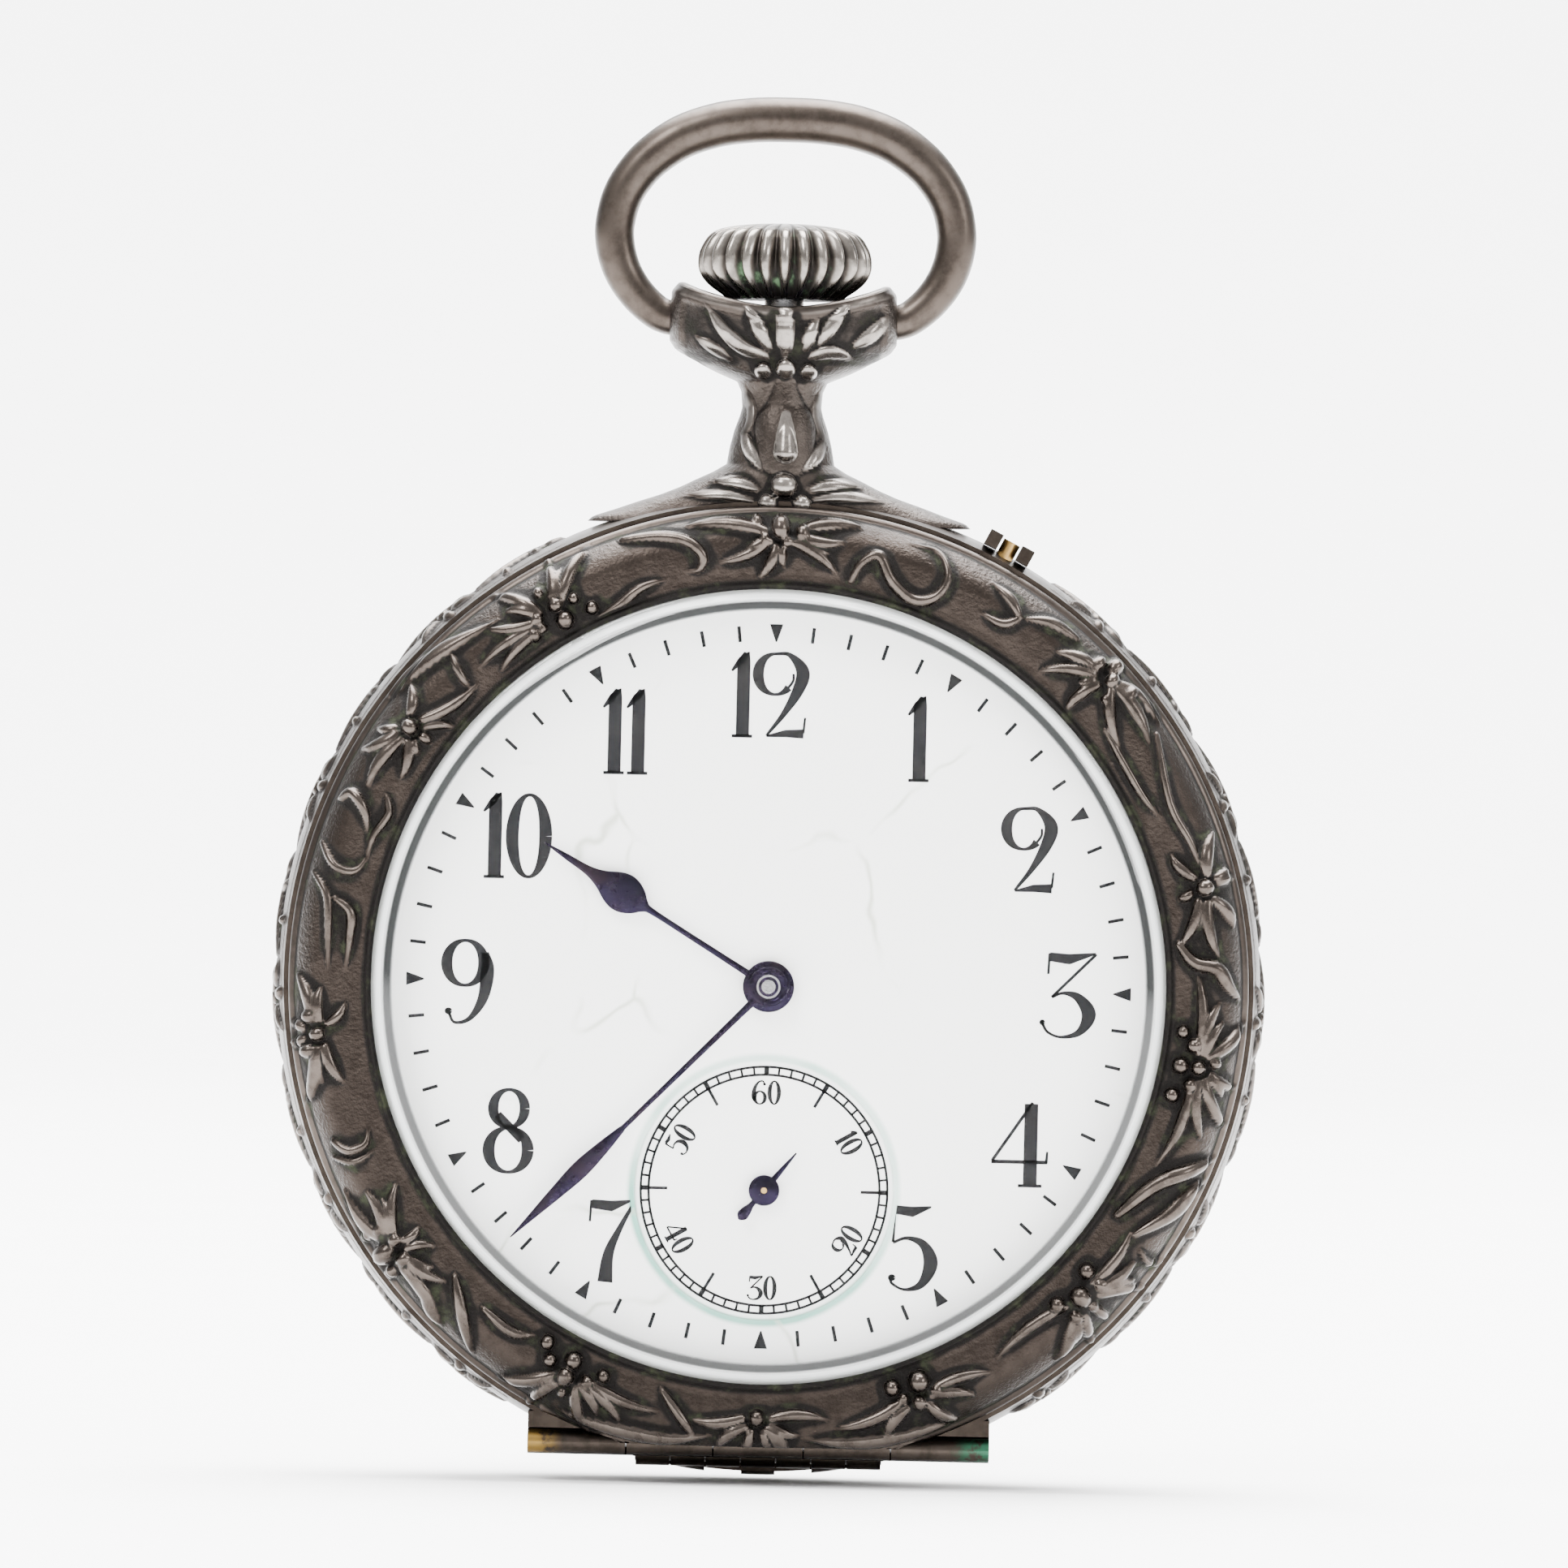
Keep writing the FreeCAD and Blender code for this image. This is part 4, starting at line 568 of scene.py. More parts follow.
@dataclass(frozen=True)
class Enamel:
    """Fired white enamel: faint cloud, hairline cracks along warped cell edges, clear gloss."""

    name: str
    white: tuple[float, float, float] = (0.90, 0.905, 0.89)
    crack: tuple[float, float, float] = (0.42, 0.45, 0.37)
    stain: tuple[float, float, float] = (0.13, 0.36, 0.28)
    recess: tuple[float, float, float] = (0.0, -10.33, 6.66)

    def build(self) -> bpy.types.Material:
        """Makes the material."""
        kit = Kit(self.name)
        cloud = kit.noise(90.0, 3.0)
        drift = kit.node("TexNoise", None, {"Vector": kit.place, "Scale": 120.0, "Detail": 3.0}, "Color")
        bent = kit.node(
            "VectorMath",
            {"operation": "MULTIPLY_ADD"},
            {0: drift, 1: (0.006, 0.006, 0.006), 2: kit.place},
        )
        cells = kit.node("TexVoronoi", {"feature": "DISTANCE_TO_EDGE"}, {"Vector": bent, "Scale": 62.0},
                         "Distance")
        line = cells.step(0.012, 0.0) * cloud.step(0.5, 0.62)
        white = kit.mix(cloud.step(0.3, 0.8) * 0.35, self.white, tuple(c * 0.95 for c in self.white))
        across, up = kit.axis("X") * MM - self.recess[0], kit.axis("Z") * MM - self.recess[1]
        away = (across * across + up * up) ** 0.5 - self.recess[2]
        edge = away.step(-0.22, -0.02) * away.step(0.4, 0.08) * (cloud.step(0.35, 0.6) * 0.5 + 0.5)
        halo = away.step(-0.1, 0.0) * away.step(1.4, 0.0) * cloud.step(0.45, 0.7) * 0.18
        white = kit.mix((edge + halo).least(1.0), white, self.stain)
        return kit.finish(
            {
                "Base Color": kit.mix(line * 0.75, white, self.crack),
                "Roughness": 0.16 + cloud * 0.08 + line * 0.3,
                "Coat Weight": 0.55,
                "Coat Roughness": 0.04,
                "Normal": kit.bump(cloud, 0.00003, 0.5),
            }
        )


@dataclass(frozen=True)
class Glass:
    """Bevelled crystal: clear field, with a painted dark line and a painted milky reflection at the bevel."""

    name: str
    bevel: float = 19.4
    edge: float = 20.5

    def build(self) -> bpy.types.Material:
        """Makes the material."""
        kit = Kit(self.name)
        flat = kit.node("CombineXYZ", None, {0: kit.axis("X"), 2: kit.axis("Z")})
        away = kit.node("VectorMath", {"operation": "LENGTH"}, {0: flat}, "Value") * MM
        dust = kit.noise(700.0, 6.0, 0.7)
        # Painted light at the bevel: a dark line where the bevel turns and a milky ring that stands for the
        # bevel's reflection; darker at the outer edge by the bezel.
        line = away.step(self.bevel - 0.42, self.bevel - 0.24) * away.step(self.bevel + 0.16,
            self.bevel + 0.02)
        ring = away.step(self.bevel + 0.06, self.bevel + 0.25)
        rim = away.step(self.edge - 0.75, self.edge - 0.45)
        colour = kit.mix(ring, (0.25, 0.26, 0.26), (0.9, 0.93, 0.93))
        colour = kit.mix(line, colour, (0.012, 0.013, 0.013))
        colour = kit.mix(rim, colour, (0.03, 0.035, 0.028))
        return kit.finish(
            {
                "Base Color": colour,
                "Roughness": 0.03 + dust * 0.04,
                "Alpha": 0.004 + dust * 0.007 + line * 0.9 + ring * 0.42,
                "IOR": 1.5,
            }
        )


@dataclass(frozen=True)
class Stone:
    """Synthetic ruby: deep pink with a paler cloud under a clear gloss."""

    name: str

    def build(self) -> bpy.types.Material:
        """Makes the material."""
        kit = Kit(self.name)
        cloud = kit.noise(1500.0, 3.0)
        return kit.finish(
            {
                "Base Color": kit.mix(cloud.step(0.3, 0.7), (0.35, 0.01, 0.05), (0.62, 0.05, 0.12)),
                "Roughness": 0.08 + cloud * 0.08,
                "Coat Weight": 0.8,
            }
        )


class Finish(Enum):
    """The finishes of the watch."""

    EMBOSSED = Silver("embossed_silver")
    BACK = Silver("embossed_back_silver", ground=(0.025, 0.0195, 0.0165), rubbed_and_highlight=(0.085, 0.071, 0.061),
                  wear=0.2, green=0.2)
    PENDANT = Silver("pendant_silver", ground=(0.026, 0.0205, 0.0175), rubbed_and_highlight=(0.20, 0.18, 0.163),
                     wear=0.12, green=0.2)
    BOW = Silver("bow_silver", ground=(0.036, 0.028, 0.0235), rubbed_and_highlight=(0.125, 0.106, 0.091), embossed=False,
                 wear=0.35, stipple=0.000012)
    CROWN = Silver("crown_silver", ground=(0.022, 0.018, 0.0155), rubbed_and_highlight=(0.21, 0.19, 0.17), wear=0.1,
                   salts=(0.07, 0.12, 0.065), green=0.9, stipple=0.00001)
    CASE = Silver("case_silver", ground=(0.022, 0.017, 0.014), rubbed_and_highlight=(0.08, 0.066, 0.054), embossed=False,
                  wear=0.3, stipple=0.00001)
    HINGE = Silver("hinge_silver", ground=(0.026, 0.020, 0.0165), rubbed_and_highlight=(0.12, 0.10, 0.085),
                   embossed=False, wear=0.4, stipple=0.00001, hinge_half=11.7)
    INNER = Metal("cuvette_silver", (0.34, 0.315, 0.29), (0.15, 0.12, 0.10), 0.26, 2500.0, (1, 1, 1),
                  0.000002)
    STEEL = Metal("polished_steel", (0.24, 0.24, 0.245), (0.12, 0.108, 0.098), 0.24, 4000.0,
                  (1.0, 1.0, 8.0))
    BLUED = Metal("blued_steel", (0.009, 0.007, 0.017), (0.014, 0.007, 0.009), 0.24, 6000.0, (1, 1, 1),
                  0.000002)
    BRASS = Metal("brass", (0.36, 0.225, 0.075), (0.17, 0.105, 0.038), 0.28, 5000.0, (1.0, 1.0, 6.0))
    GILT = Metal("frosted_gilt", (0.44, 0.29, 0.105), (0.26, 0.16, 0.055), 0.42, 9000.0, (1, 1, 1), 0.00001)
    INK = Ink("dial_black", (0.004, 0.004, 0.005), (0.009, 0.008, 0.008), 0.4, 6000.0)
    ENAMEL = Enamel("white_enamel")
    GLASS = Glass("crystal_glass")
    RUBY = Stone("ruby")


class Dresser:
    """Builds each finish once and puts it on pieces and CAD nodes."""

    def __init__(self) -> None:
        """Starts with no finish built."""
        self.made: dict[Finish, bpy.types.Material] = {}

    def material(self, finish: Finish) -> bpy.types.Material:
        """The material of a finish, built on first use."""
        if finish not in self.made:
            self.made[finish] = finish.value.build()
        return self.made[finish]

    def dress(
        self,
        piece: bpy.types.Object,
        finish: Finish,
        body: str,
        slot: str,
        *replaced: str,
    ) -> bpy.types.Object:
        """Finishes a new piece, puts it on its body and hides the CAD nodes that it replaces.

        Args:
            piece: the new piece.
            finish: its finish.
            body: CAD body that it rides on.
            slot: the record's material slot; not used.
            replaced: CAD nodes that it replaces.

        Returns:
            The piece.
        """
        piece.data.materials.append(self.material(finish))
        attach(piece, body)
        if replaced:
            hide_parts(*replaced)
        LOG.info("%s on %s: %d faces", piece.name, body, len(piece.data.polygons))
        return piece

    def dress_node(self, node: bpy.types.Object, finish: Finish) -> None:
        """Puts a finish on a CAD node's own material slots."""
        if not node.material_slots:
            node.data.materials.append(None)
        for slot in node.material_slots:
            slot.material = self.material(finish)


# ---------------------------------------------------------------- bezel

# Heart across and up; petals as (degrees, reach); beads as (across, up, radius).
FLOWERS = (
    (0.2, 22.9, ((244, 2.4), (206, 3.4), (211, 2.3), (177, 4.9), (273, 1.6), (325, 3.3), (338, 2.5),
                 (353, 3.1), (6, 3.95)), ((-1.3, 0.55, 0.35), (-0.9, -0.3, 0.35), (0.25, -0.4, 0.35),
                                          (1, 0, 0.45), (-0.1, 0.25, 0.6))),
    (16.8, 16.1, ((177, 3.4), (220, 2.7), (193, 1.5), (280, 3.6), (303, 3.9), (319, 3.6), (156, 2.8)),
     ((-0.55, 0.55, 0.4), (0.15, -0.3, 0.4), (1.1, -0.95, 0.4), (-0.1, -1.2, 0.3), (0.3, 0.4, 0.5))),
    (21.9, 5.5, ((137, 2.3), (83, 2.8), (43, 1.5), (21, 1.5), (308, 2.4), (283, 3.6), (263, 2.2),
                 (249, 3.1), (203, 1.35)), ((0, 0, 0.5),)),
    (21.8, -3.6, ((92, 4.8), (73, 3.4), (63, 2.5), (46, 3.2), (332, 2.1), (295, 3.3), (273, 3.5),
                  (248, 5.3), (310, 1.8)), ((-0.8, 1.8, 0.4), (-0.25, 1.1, 0.45), (0, 0, 0.45),
                                            (-0.4, -0.9, 0.42), (-0.9, 0.1, 0.5), (0.8, 0.25, 0.35),
                                            (-1.3, -1.4, 0.45))),
    (16.1, -15.3, ((53, 4.1), (34, 3.2), (19, 2.75), (9, 3.2), (320, 1.8), (287, 2.4), (260, 2.4),
                   (251, 3.4), (218, 5.3)), ((0.3, 1.3, 0.5), (1, 0.6, 0.42), (0, 0, 0.62),
                                             (-1.15, -0.45, 0.5), (-0.2, -1, 0.42), (0.6, -0.4, 0.35))),
    (7.9, -20.5, ((204, 4.3), (212, 2.15), (235, 2.7), (332, 2.4), (3, 2.9), (19, 3.9)),
     ((-0.6, -0.15, 0.35), (0.2, -0.3, 0.45), (1.05, 0.3, 0.4), (-1.2, 0.4, 0.5), (0.15, 0.75, 0.65))),
    (-0.1, -21.8, ((183, 3.2), (216, 2.4), (246, 2.2), (297, 1.65), (314, 2.3), (0, 3.5), (337, 2.2),
                   (307, 2.1)), ((0, 0, 0.5),)),
    (-9.5, -19.7, ((185, 3.8), (197, 2.2), (218, 2.9), (286, 3.1), (303, 2.45), (316, 3.4), (337, 4.8)),
     ((-1.1, 0.6, 0.42), (-0.3, -0.2, 0.55), (0.8, -0.5, 0.4), (1.6, -0.15, 0.42), (-0.45, -1, 0.28),
      (0.1, 0.6, 0.55), (-1.25, 1.5, 0.45))),
    (-18.7, -13.7, ((131, 3.9), (115, 3.15), (103, 2.6), (88, 3.3), (41, 1.7), (6, 2.1), (337, 2.2),
                    (330, 3.1), (303, 4.6)), ((-0.65, 1, 0.36), (0.15, 0.5, 0.4), (-0.3, -0.15, 0.6),
                                              (0.6, -0.45, 0.42), (0, -1.1, 0.42), (-1.3, 0.65, 0.35))),
    (-22.7, -2.9, ((49, 2.0), (88, 2.3), (110, 3.2), (299, 2.7), (276, 2.4), (262, 3.6), (200, 1.4),
                   (160, 1.4)), ((-0.4, 0.9, 0.4), (0, 0, 0.42), (-0.4, -0.85, 0.42))),
    (-18.4, 12.7, ((34, 4.0), (2, 2.1), (288, 1.4), (262, 2.5), (235, 3.6), (207, 2.6), (185, 1.55),
                   (90, 2.2), (322, 1.2)), ((0, 0, 0.5),)),
    (-11.3, 18.4, ((97, 2.9), (65, 4.0), (81, 2.45), (162, 3.2), (173, 2.3), (192, 3.2), (215, 4.4),
                   (227, 3.7)), ((0.1, 0.65, 0.45), (-0.75, 1.2, 0.3), (1, 1, 0.35), (-0.8, -0.1, 0.4),
                                 (0.6, -0.1, 0.55), (-0.9, -0.9, 0.42), (1.95, 0.55, 0.4))),
)

# Width, then the plan points that each scroll, leaf or stem passes through.
SCROLLS = (
    (0.62, ((-7.9, 22.4), (-6.0, 22.6), (-4.6, 22.4), (-3.8, 21.7), (-4.0, 21.0), (-4.7, 20.9))),
    (0.6, ((-8.9, 18.5), (-8.0, 19.1), (-6.9, 20.0), (-5.6, 20.5))),
    (0.66, ((3.7, 20.6), (4.2, 21.5), (5.1, 21.9), (5.8, 20.6), (6.9, 19.7), (8.0, 19.9), (8.6, 20.9),
            (8.1, 22.1), (6.6, 22.6))),
    (0.55, ((12.3, 18.9), (11.8, 19.8), (10.8, 20.7))),
    (0.55, ((12.3, 18.9), (11.4, 18.6), (10.2, 19.2))),
    (0.55, ((15.2, 17.9), (13.8, 18.7), (12.3, 18.9))),
    (0.5, ((16.7, 13.4), (17.8, 11.5), (18.8, 9.9), (19.7, 8.9))),
    (0.5, ((19.3, 13.2), (20.1, 9.7), (21.2, 7.7), (21.9, 5.9))),
    (0.85, ((20.7, 2.6), (21.5, 1.7), (22.6, 1.4), (23.2, 0.5), (23.9, -0.2))),
    (0.9, ((17.9, -11.1), (19.7, -9.6), (21.4, -8.8), (22.9, -8.1))),
    (0.75, ((18.8, -12.1), (20.5, -11.0), (21.5, -9.9), (22.4, -9.1))),
    (0.42, ((19.1, -12.9), (19.5, -13.5), (20.1, -13.4), (20.4, -12.7))),
    (0.7, ((-10.9, -21.6), (-7.6, -22.4), (-4.6, -22.9), (-2.2, -22.7))),
    (0.7, ((9.4, -21.9), (6.9, -22.6), (4.5, -22.9), (2.2, -22.8))),
    (0.6, ((-4.9, -20.5), (-3.9, -21.9), (-3.2, -22.8))),
    (0.7, ((-15.5, -15.0), (-15.1, -16.8), (-14.5, -19.1))),
    (0.6, ((-17.1, -15.9), (-16.1, -17.6))),
    (0.65, ((-14.0, -16.6), (-12.6, -17.7), (-11.3, -17.9))),
    (0.55, ((-21.8, -8.3), (-21.0, -8.75), (-20.2, -8.4), (-20.05, -7.5))),
    (0.4, ((-21.8, -9.1), (-20.7, -9.3), (-19.6, -8.6))),
    (0.6, ((-22.0, 4.0), (-21.2, 3.3), (-21.2, 2.1), (-21.4, 0.3))),
    (0.45, ((-23.1, 5.3), (-22.4, 4.1), (-22.3, 2.0), (-22.3, 0.2))),
    (0.6, ((-21.8, 9.0), (-21.2, 9.3), (-20.6, 8.4), (-20.4, 7.2))),
    (0.5, ((-19.5, 9.2), (-19.4, 8.3), (-20.1, 7.2), (-20.5, 5.9))),
    (0.5, ((-22.7, 6.8), (-22.0, 5.6), (-21.0, 5.4), (-20.3, 6.3))),
    (0.75, ((-19.4, 14.3), (-18.1, 15.6), (-16.3, 16.9), (-14.1, 18.2))),
    (0.5, ((-16.4, 16.4), (-15.9, 15.4), (-15.4, 14.7))),
)

# Radius and height along the plain bead, from the seat outwards and up.
LATHE_PROFILE = (
    (23.10, 9.87), (23.60, 9.86), (24.05, 9.86), (24.22, 9.90), (24.31, 10.0), (24.35, 10.13),
    (24.33, 10.27), (24.25, 10.40),
    (24.13, 10.48), (24.02, 10.53), (23.97, 10.62), (23.95, 10.76),
)


@dataclass
class Bezel:
    """The hinged bezel: a turned ring embossed with flowers, and its glass.

    Attributes:
        angles: sections round the ring.
        field: rows across the embossed field.
        rise: height of a full petal as a share of its half width.
        top: height of the field's crest below the ring's highest point.
        hinge: radius of the room kept round the hinge pin.
        hinge_half: half the length of that room.
    """

    dresser: Dresser
    angles: int = 1260
    field: int = 44
    rise: float = 1.3
    top: float = 0.42
    hinge: float = 0.70
    hinge_half: float = 11.8

    def profile(self) -> tuple[Array, Array]:
        """The ring's section and how far each point takes the embossing.

        From the plain bead the field climbs as a rounded shoulder, crests and falls to a
        plain inner rim; below it follows the CAD's groove for the glass.

        Returns:
            Radii and heights of shape (n, 2), and weights of shape (n,).
        """
        low, high = bench_box("bezel")
        scale, crest = high[0] / 24.35, high[2] - self.top
        t = np.linspace(0, 1, self.field)
        r = 23.93 - t * 3.46
        z = crest - 1.28 * np.clip((r - 22.35) / 1.6, 0, 1) ** 2.1 - 0.10 * np.clip((22.0 - r) / 1.1, 0,
            1) ** 2
        rim = np.array([(20.43, 12.06), (20.39, 12.17), (20.32, 12.22), (20.24, 12.2), (20.16, 12.13),
                        (20.11, 12.07), (20.1, 12.03), (20.53, 12.02), (20.53, 11.48), (20.22, 11.47),
                        (20.2, 11.12), (20.9, 10.86), (21.6, 10.6), (22.4, 10.6), (23.1, 10.6),
                        (23.1, 10.2)])
        outline = np.vstack([LATHE_PROFILE, np.stack([r, z], -1), rim])
        weight = np.zeros(len(outline))
        first = len(LATHE_PROFILE)
        weight[first : first + self.field] = np.clip(np.minimum(t / 0.05, (1 - t) / 0.04), 0, 1)
        weight[4:first] = 0.55
        outline[:, 0] *= scale
        outline[:, 1] += low[2] - 9.85
        return outline, weight

    def strokes(self) -> list[Stroke]:
        """All flowers and scrolls of the ring."""
        made = [s for x, y, petals, beads in FLOWERS for s in flower(x, y, petals, beads)]
        return made + [line_stroke(points, width, 1.1) for width, points in SCROLLS]

    def ring(self) -> bpy.types.Object:
        """Revolves the section and raises the embossing along its own leaning direction.

        A point at angle a lies at (r cos a, r sin a, z). It moves by the embossing's height
        along a direction that leans outwards from upright by up to fifty degrees at the
        shoulder. The hinge side is cut flat, and points inside the knuckles' room go out
        to its wall.

        Returns:
            The finished piece.
        """
        outline, weight = self.profile()
        angle = np.linspace(0, 2 * np.pi, self.angles, endpoint=False)
        r, z = (np.broadcast_to(outline[:, k], (self.angles, len(outline))) for k in (0, 1))
        ca, sa = np.cos(angle)[:, None], np.sin(angle)[:, None]
        plan = np.stack([r * ca, r * sa], -1)
        height = emboss(plan.reshape(-1, 2), self.strokes()).reshape(r.shape) * self.rise * weight
        lean = np.radians(50) * np.clip((r - 22.4) / 1.5, 0, 1)
        out, up = r + height * np.sin(lean), z + height * np.cos(lean)
        points = np.stack([out * ca, out * sa, up], -1)
        points[..., 1] = np.maximum(points[..., 1], bench_box("bezel")[0][1])
        axis = sum(bench_box("front_hinge_pin"))[1:] / 2
        gap = points[..., 1:] - axis
        far = np.sqrt((gap**2).sum(-1))
        inside = (far < self.hinge) & (np.abs(points[..., 0]) < self.hinge_half)
        wall = axis + gap / np.maximum(far, 1e-6)[..., None] * self.hinge
        points[..., 1:] = np.where(inside[..., None], wall, points[..., 1:])
        # Painted shade with oxide: darker in the hollows among the flowers and in the groove behind the plain
        # bead; darker also on the plain inner rim.
        deep = np.maximum(hollows(height, 2, 14.0), hollows(height, 5, 9.0))
        deep = np.maximum(deep, np.clip((20.75 - r) / 0.3, 0, 1) * 0.85 * (z > 11.9))
        deep = np.maximum(deep, np.exp(-(((r - 23.97) / 0.08) ** 2)) * 0.8 * (weight < 1))
        # Relief lightens the flowers and the plain bead: wear from rubbing and painted highlight.
        plain = (r > 24.0) * 0.55
        relief = np.maximum(height / 0.36, plain)
        values = {"relief": relief.clip(0, 1).ravel(), "hollow_shade_and_oxide": deep.ravel()}
        piece = bench_mesh("bezel_ornate", [looped(points)], values)
        return self.dresser.dress(piece, Finish.EMBOSSED, "bezel", "embossed_silver", "bezel")

    def glass(self) -> bpy.types.Object:
        """The bevelled crystal: a section of two shallow arcs turned about the dial's axis."""
        _, high = bench_box("crystal")
        edge, top = high[0], high[2] - 13.6
        upper = smooth_line(np.array([(19.4, 12.75), (14.6, 13.14), (9.7, 13.3875), (4.9, 13.54),
                                      (0.35, 13.6)]), 8)
        lower = smooth_line(np.array([(0.35, 12.85), (4.9, 12.79), (9.7, 12.6375), (14.6, 12.37),
                                      (19.0, 12.0)]), 8)
        rim = np.array([(20.2, 11.5), (20.42, 11.5), (20.5, 11.6), (20.5, 11.92), (20.42, 12.0),
                        (20.1, 12.02), (19.75, 12.37)])
        outline = np.vstack([upper[::-1], rim[::-1], [(19.75, 11.52)], lower[::-1]])
        outline[:, 0] *= edge / 20.5
        outline[:, 1] += top
        sections = 220
        angle = np.linspace(0, 2 * np.pi, sections, endpoint=False)[:, None]
        level = np.broadcast_to(outline[:, 1], (sections, len(outline)))
        rings = np.stack([outline[:, 0] * np.cos(angle), outline[:, 0] * np.sin(angle), level], -1)
        piece = bench_mesh("crystal_glass", [capped(rings.transpose(1, 0, 2))])
        return self.dresser.dress(piece, Finish.GLASS, "bezel", "glass", "crystal")

    def build(self) -> None:
        """Makes the ring and its glass."""
        self.ring()
        self.glass()


# ---------------------------------------------------------------- case


@dataclass
class CaseEmbossing:
    """Thin embossed skins over the band and the back cover.

    Attributes:
        spans: arcs of the band in degrees clockwise from twelve.
        lift: height of a full leaf.
    """

    dresser: Dresser
    spans: tuple[tuple[str, float, float], ...] = (("right", 33.0, 150.0), ("left", 210.0, 335.0))
    lift: float = 0.75

    def vine(self, length: float, middle: float) -> list[Stroke]:
        """A running vine: a wave of pairs of leaves on both sides and a flower in each bend.

        Args:
            length: run of the vine in millimetres.
            middle: height of its middle line.

        Returns:
            Strokes over (run, height).
        """
        made: list[Stroke] = []
        count = int(length / 5.2)
        step = length / count
        for k in range(count):
            s, side = (k + 0.5) * step, 1 if k % 2 else -1
            made.append(line_stroke([(s - step / 2, middle + 1.2 * side), (s, middle + 0.1 * side),
                                     (s + step / 2, middle - 1.2 * side)], 0.75))
            made += [petal(s + 0.5, middle - 0.9 * side, turn, reach, 0.6) for turn,
                     reach in ((20, 2.0), (75, 1.7), (140, 2.1), (200, 1.9), (260, 1.6), (320, 2.1))]
            made += [bead(s + 0.5, middle - 0.9 * side, 0.42), bead(s - 1.0, middle + 1.9 * side, 0.3)]
        return made

    def band(self) -> None:
        """Skins on the band: its bulged section with leaves raised outwards, sunk at the edges.

        At arc length s and height z the outer wall stands at the band's radius
        24.6 + 0.4 (1 - ((z - 7.05) / 2.75)^2) plus the embossing; the inner wall is 0.3 inside.
        """
        radius, bottom, top = 24.6, 4.42, 9.68
        middle, half = 7.05, 2.75
        crest = 0.27  # height that the leaves are cut off at
        for name, start, end in self.spans:
            count = int((end - start) * 4.2)
            clock = np.radians(np.linspace(start, end, count))
            z = np.linspace(bottom, top, 34)
            run = (clock - clock[0]) * 25.0
            plan = np.stack(np.meshgrid(run, z, indexing="ij"), -1)
            fade = np.clip(np.minimum(z - bottom, top - z) / 0.25, 0, 1)[None, :]
            ends = np.clip(np.minimum(run, run[-1] - run) / 0.5, 0, 1)[:, None]
            height = emboss(plan.reshape(-1, 2), self.vine(run[-1], middle)).reshape(count,
                len(z)) * self.lift * fade * ends
            height = np.minimum(height, crest)
            bulge = radius + 0.4 * (1 - ((z - middle) / half) ** 2)
            outer = bulge[None, :] + 0.02 * fade + height - 0.1 * (1 - np.minimum(fade, ends))
            inner = np.broadcast_to((bulge - 0.3)[None, ::-1], outer.shape)
            wall, level = np.hstack([outer, inner]), np.hstack([z, z[::-1]])
            rings = np.stack([wall * np.sin(clock)[:, None], wall * np.cos(clock)[:, None],
                              np.broadcast_to(level, wall.shape)], -1)
            # Painted shade with oxide in the hollows between the leaves; relief lightens the leaves as wear
            # from rubbing and painted highlight.
            deep = np.hstack([hollows(height, 3), np.zeros_like(height)])
            relief = np.hstack([height / crest, np.zeros_like(height)]).clip(0, 1)
            piece = bench_mesh(f"band_embossing_{name}", [capped(rings)],
                               {"relief": relief.ravel(), "hollow_shade_and_oxide": deep.ravel()})
            self.dresser.dress(piece, Finish.BACK, "case", "case_silver")

    def wreath(self) -> list[Stroke]:
        """A ring of ten flowers and scrolls, and a ring of sixteen sprays round a plain middle."""
        made: list[Stroke] = []
        for k in range(10):
            turn = 36.0 * k + 9
            a = math.radians(turn)
            x, y = 19.2 * math.cos(a), 19.2 * math.sin(a)
            petals = [(turn + d, reach) for d, reach in ((0, 3.4), (38, 2.6), (-36, 2.8), (80, 3.4),
                (-82, 3.2), (122, 2.5), (-125, 2.7), (180, 3.0))]
            made += flower(x, y, petals, [(0, 0, 0.75), (0.9, 0.4, 0.4), (-0.8, 0.5, 0.42),
                                          (0.1, -0.95, 0.4)], 0.8)
            b = a + math.radians(18)
            arc = [(r * math.cos(b + w), r * math.sin(b + w)) for r,
                   w in ((22.6, -0.08), (21.0, 0.06), (19.0, 0.03), (17.2, -0.05), (15.8, 0.02),
                         (14.6, 0.12))]
            made.append(line_stroke(arc, 0.8))
            made += [petal(*arc[n], math.degrees(b) + d, 2.3, 0.75) for n in (1, 3, 4) for d in (-70, 60,
                150, 240)]
            made += [bead(*arc[-1], 0.5), bead(*arc[2], 0.42)]
        for k in range(16):
            a = math.radians(22.5 * k)
            ring = [(r * math.cos(a + w), r * math.sin(a + w)) for r,
                    w in ((9.6, 0.0), (10.6, 0.13), (11.0, 0.3), (12.4, 0.42))]
            made += [petal(*ring[2], 22.5 * k + d, 2.3, 0.7) for d in (-40, 20, 80)]
            made += [line_stroke(ring, 0.8), petal(ring[0][0], ring[0][1], 22.5 * k + 40, 2.4, 0.7),
                     petal(ring[0][0], ring[0][1], 22.5 * k - 8, 2.2, 0.7)]
        return made

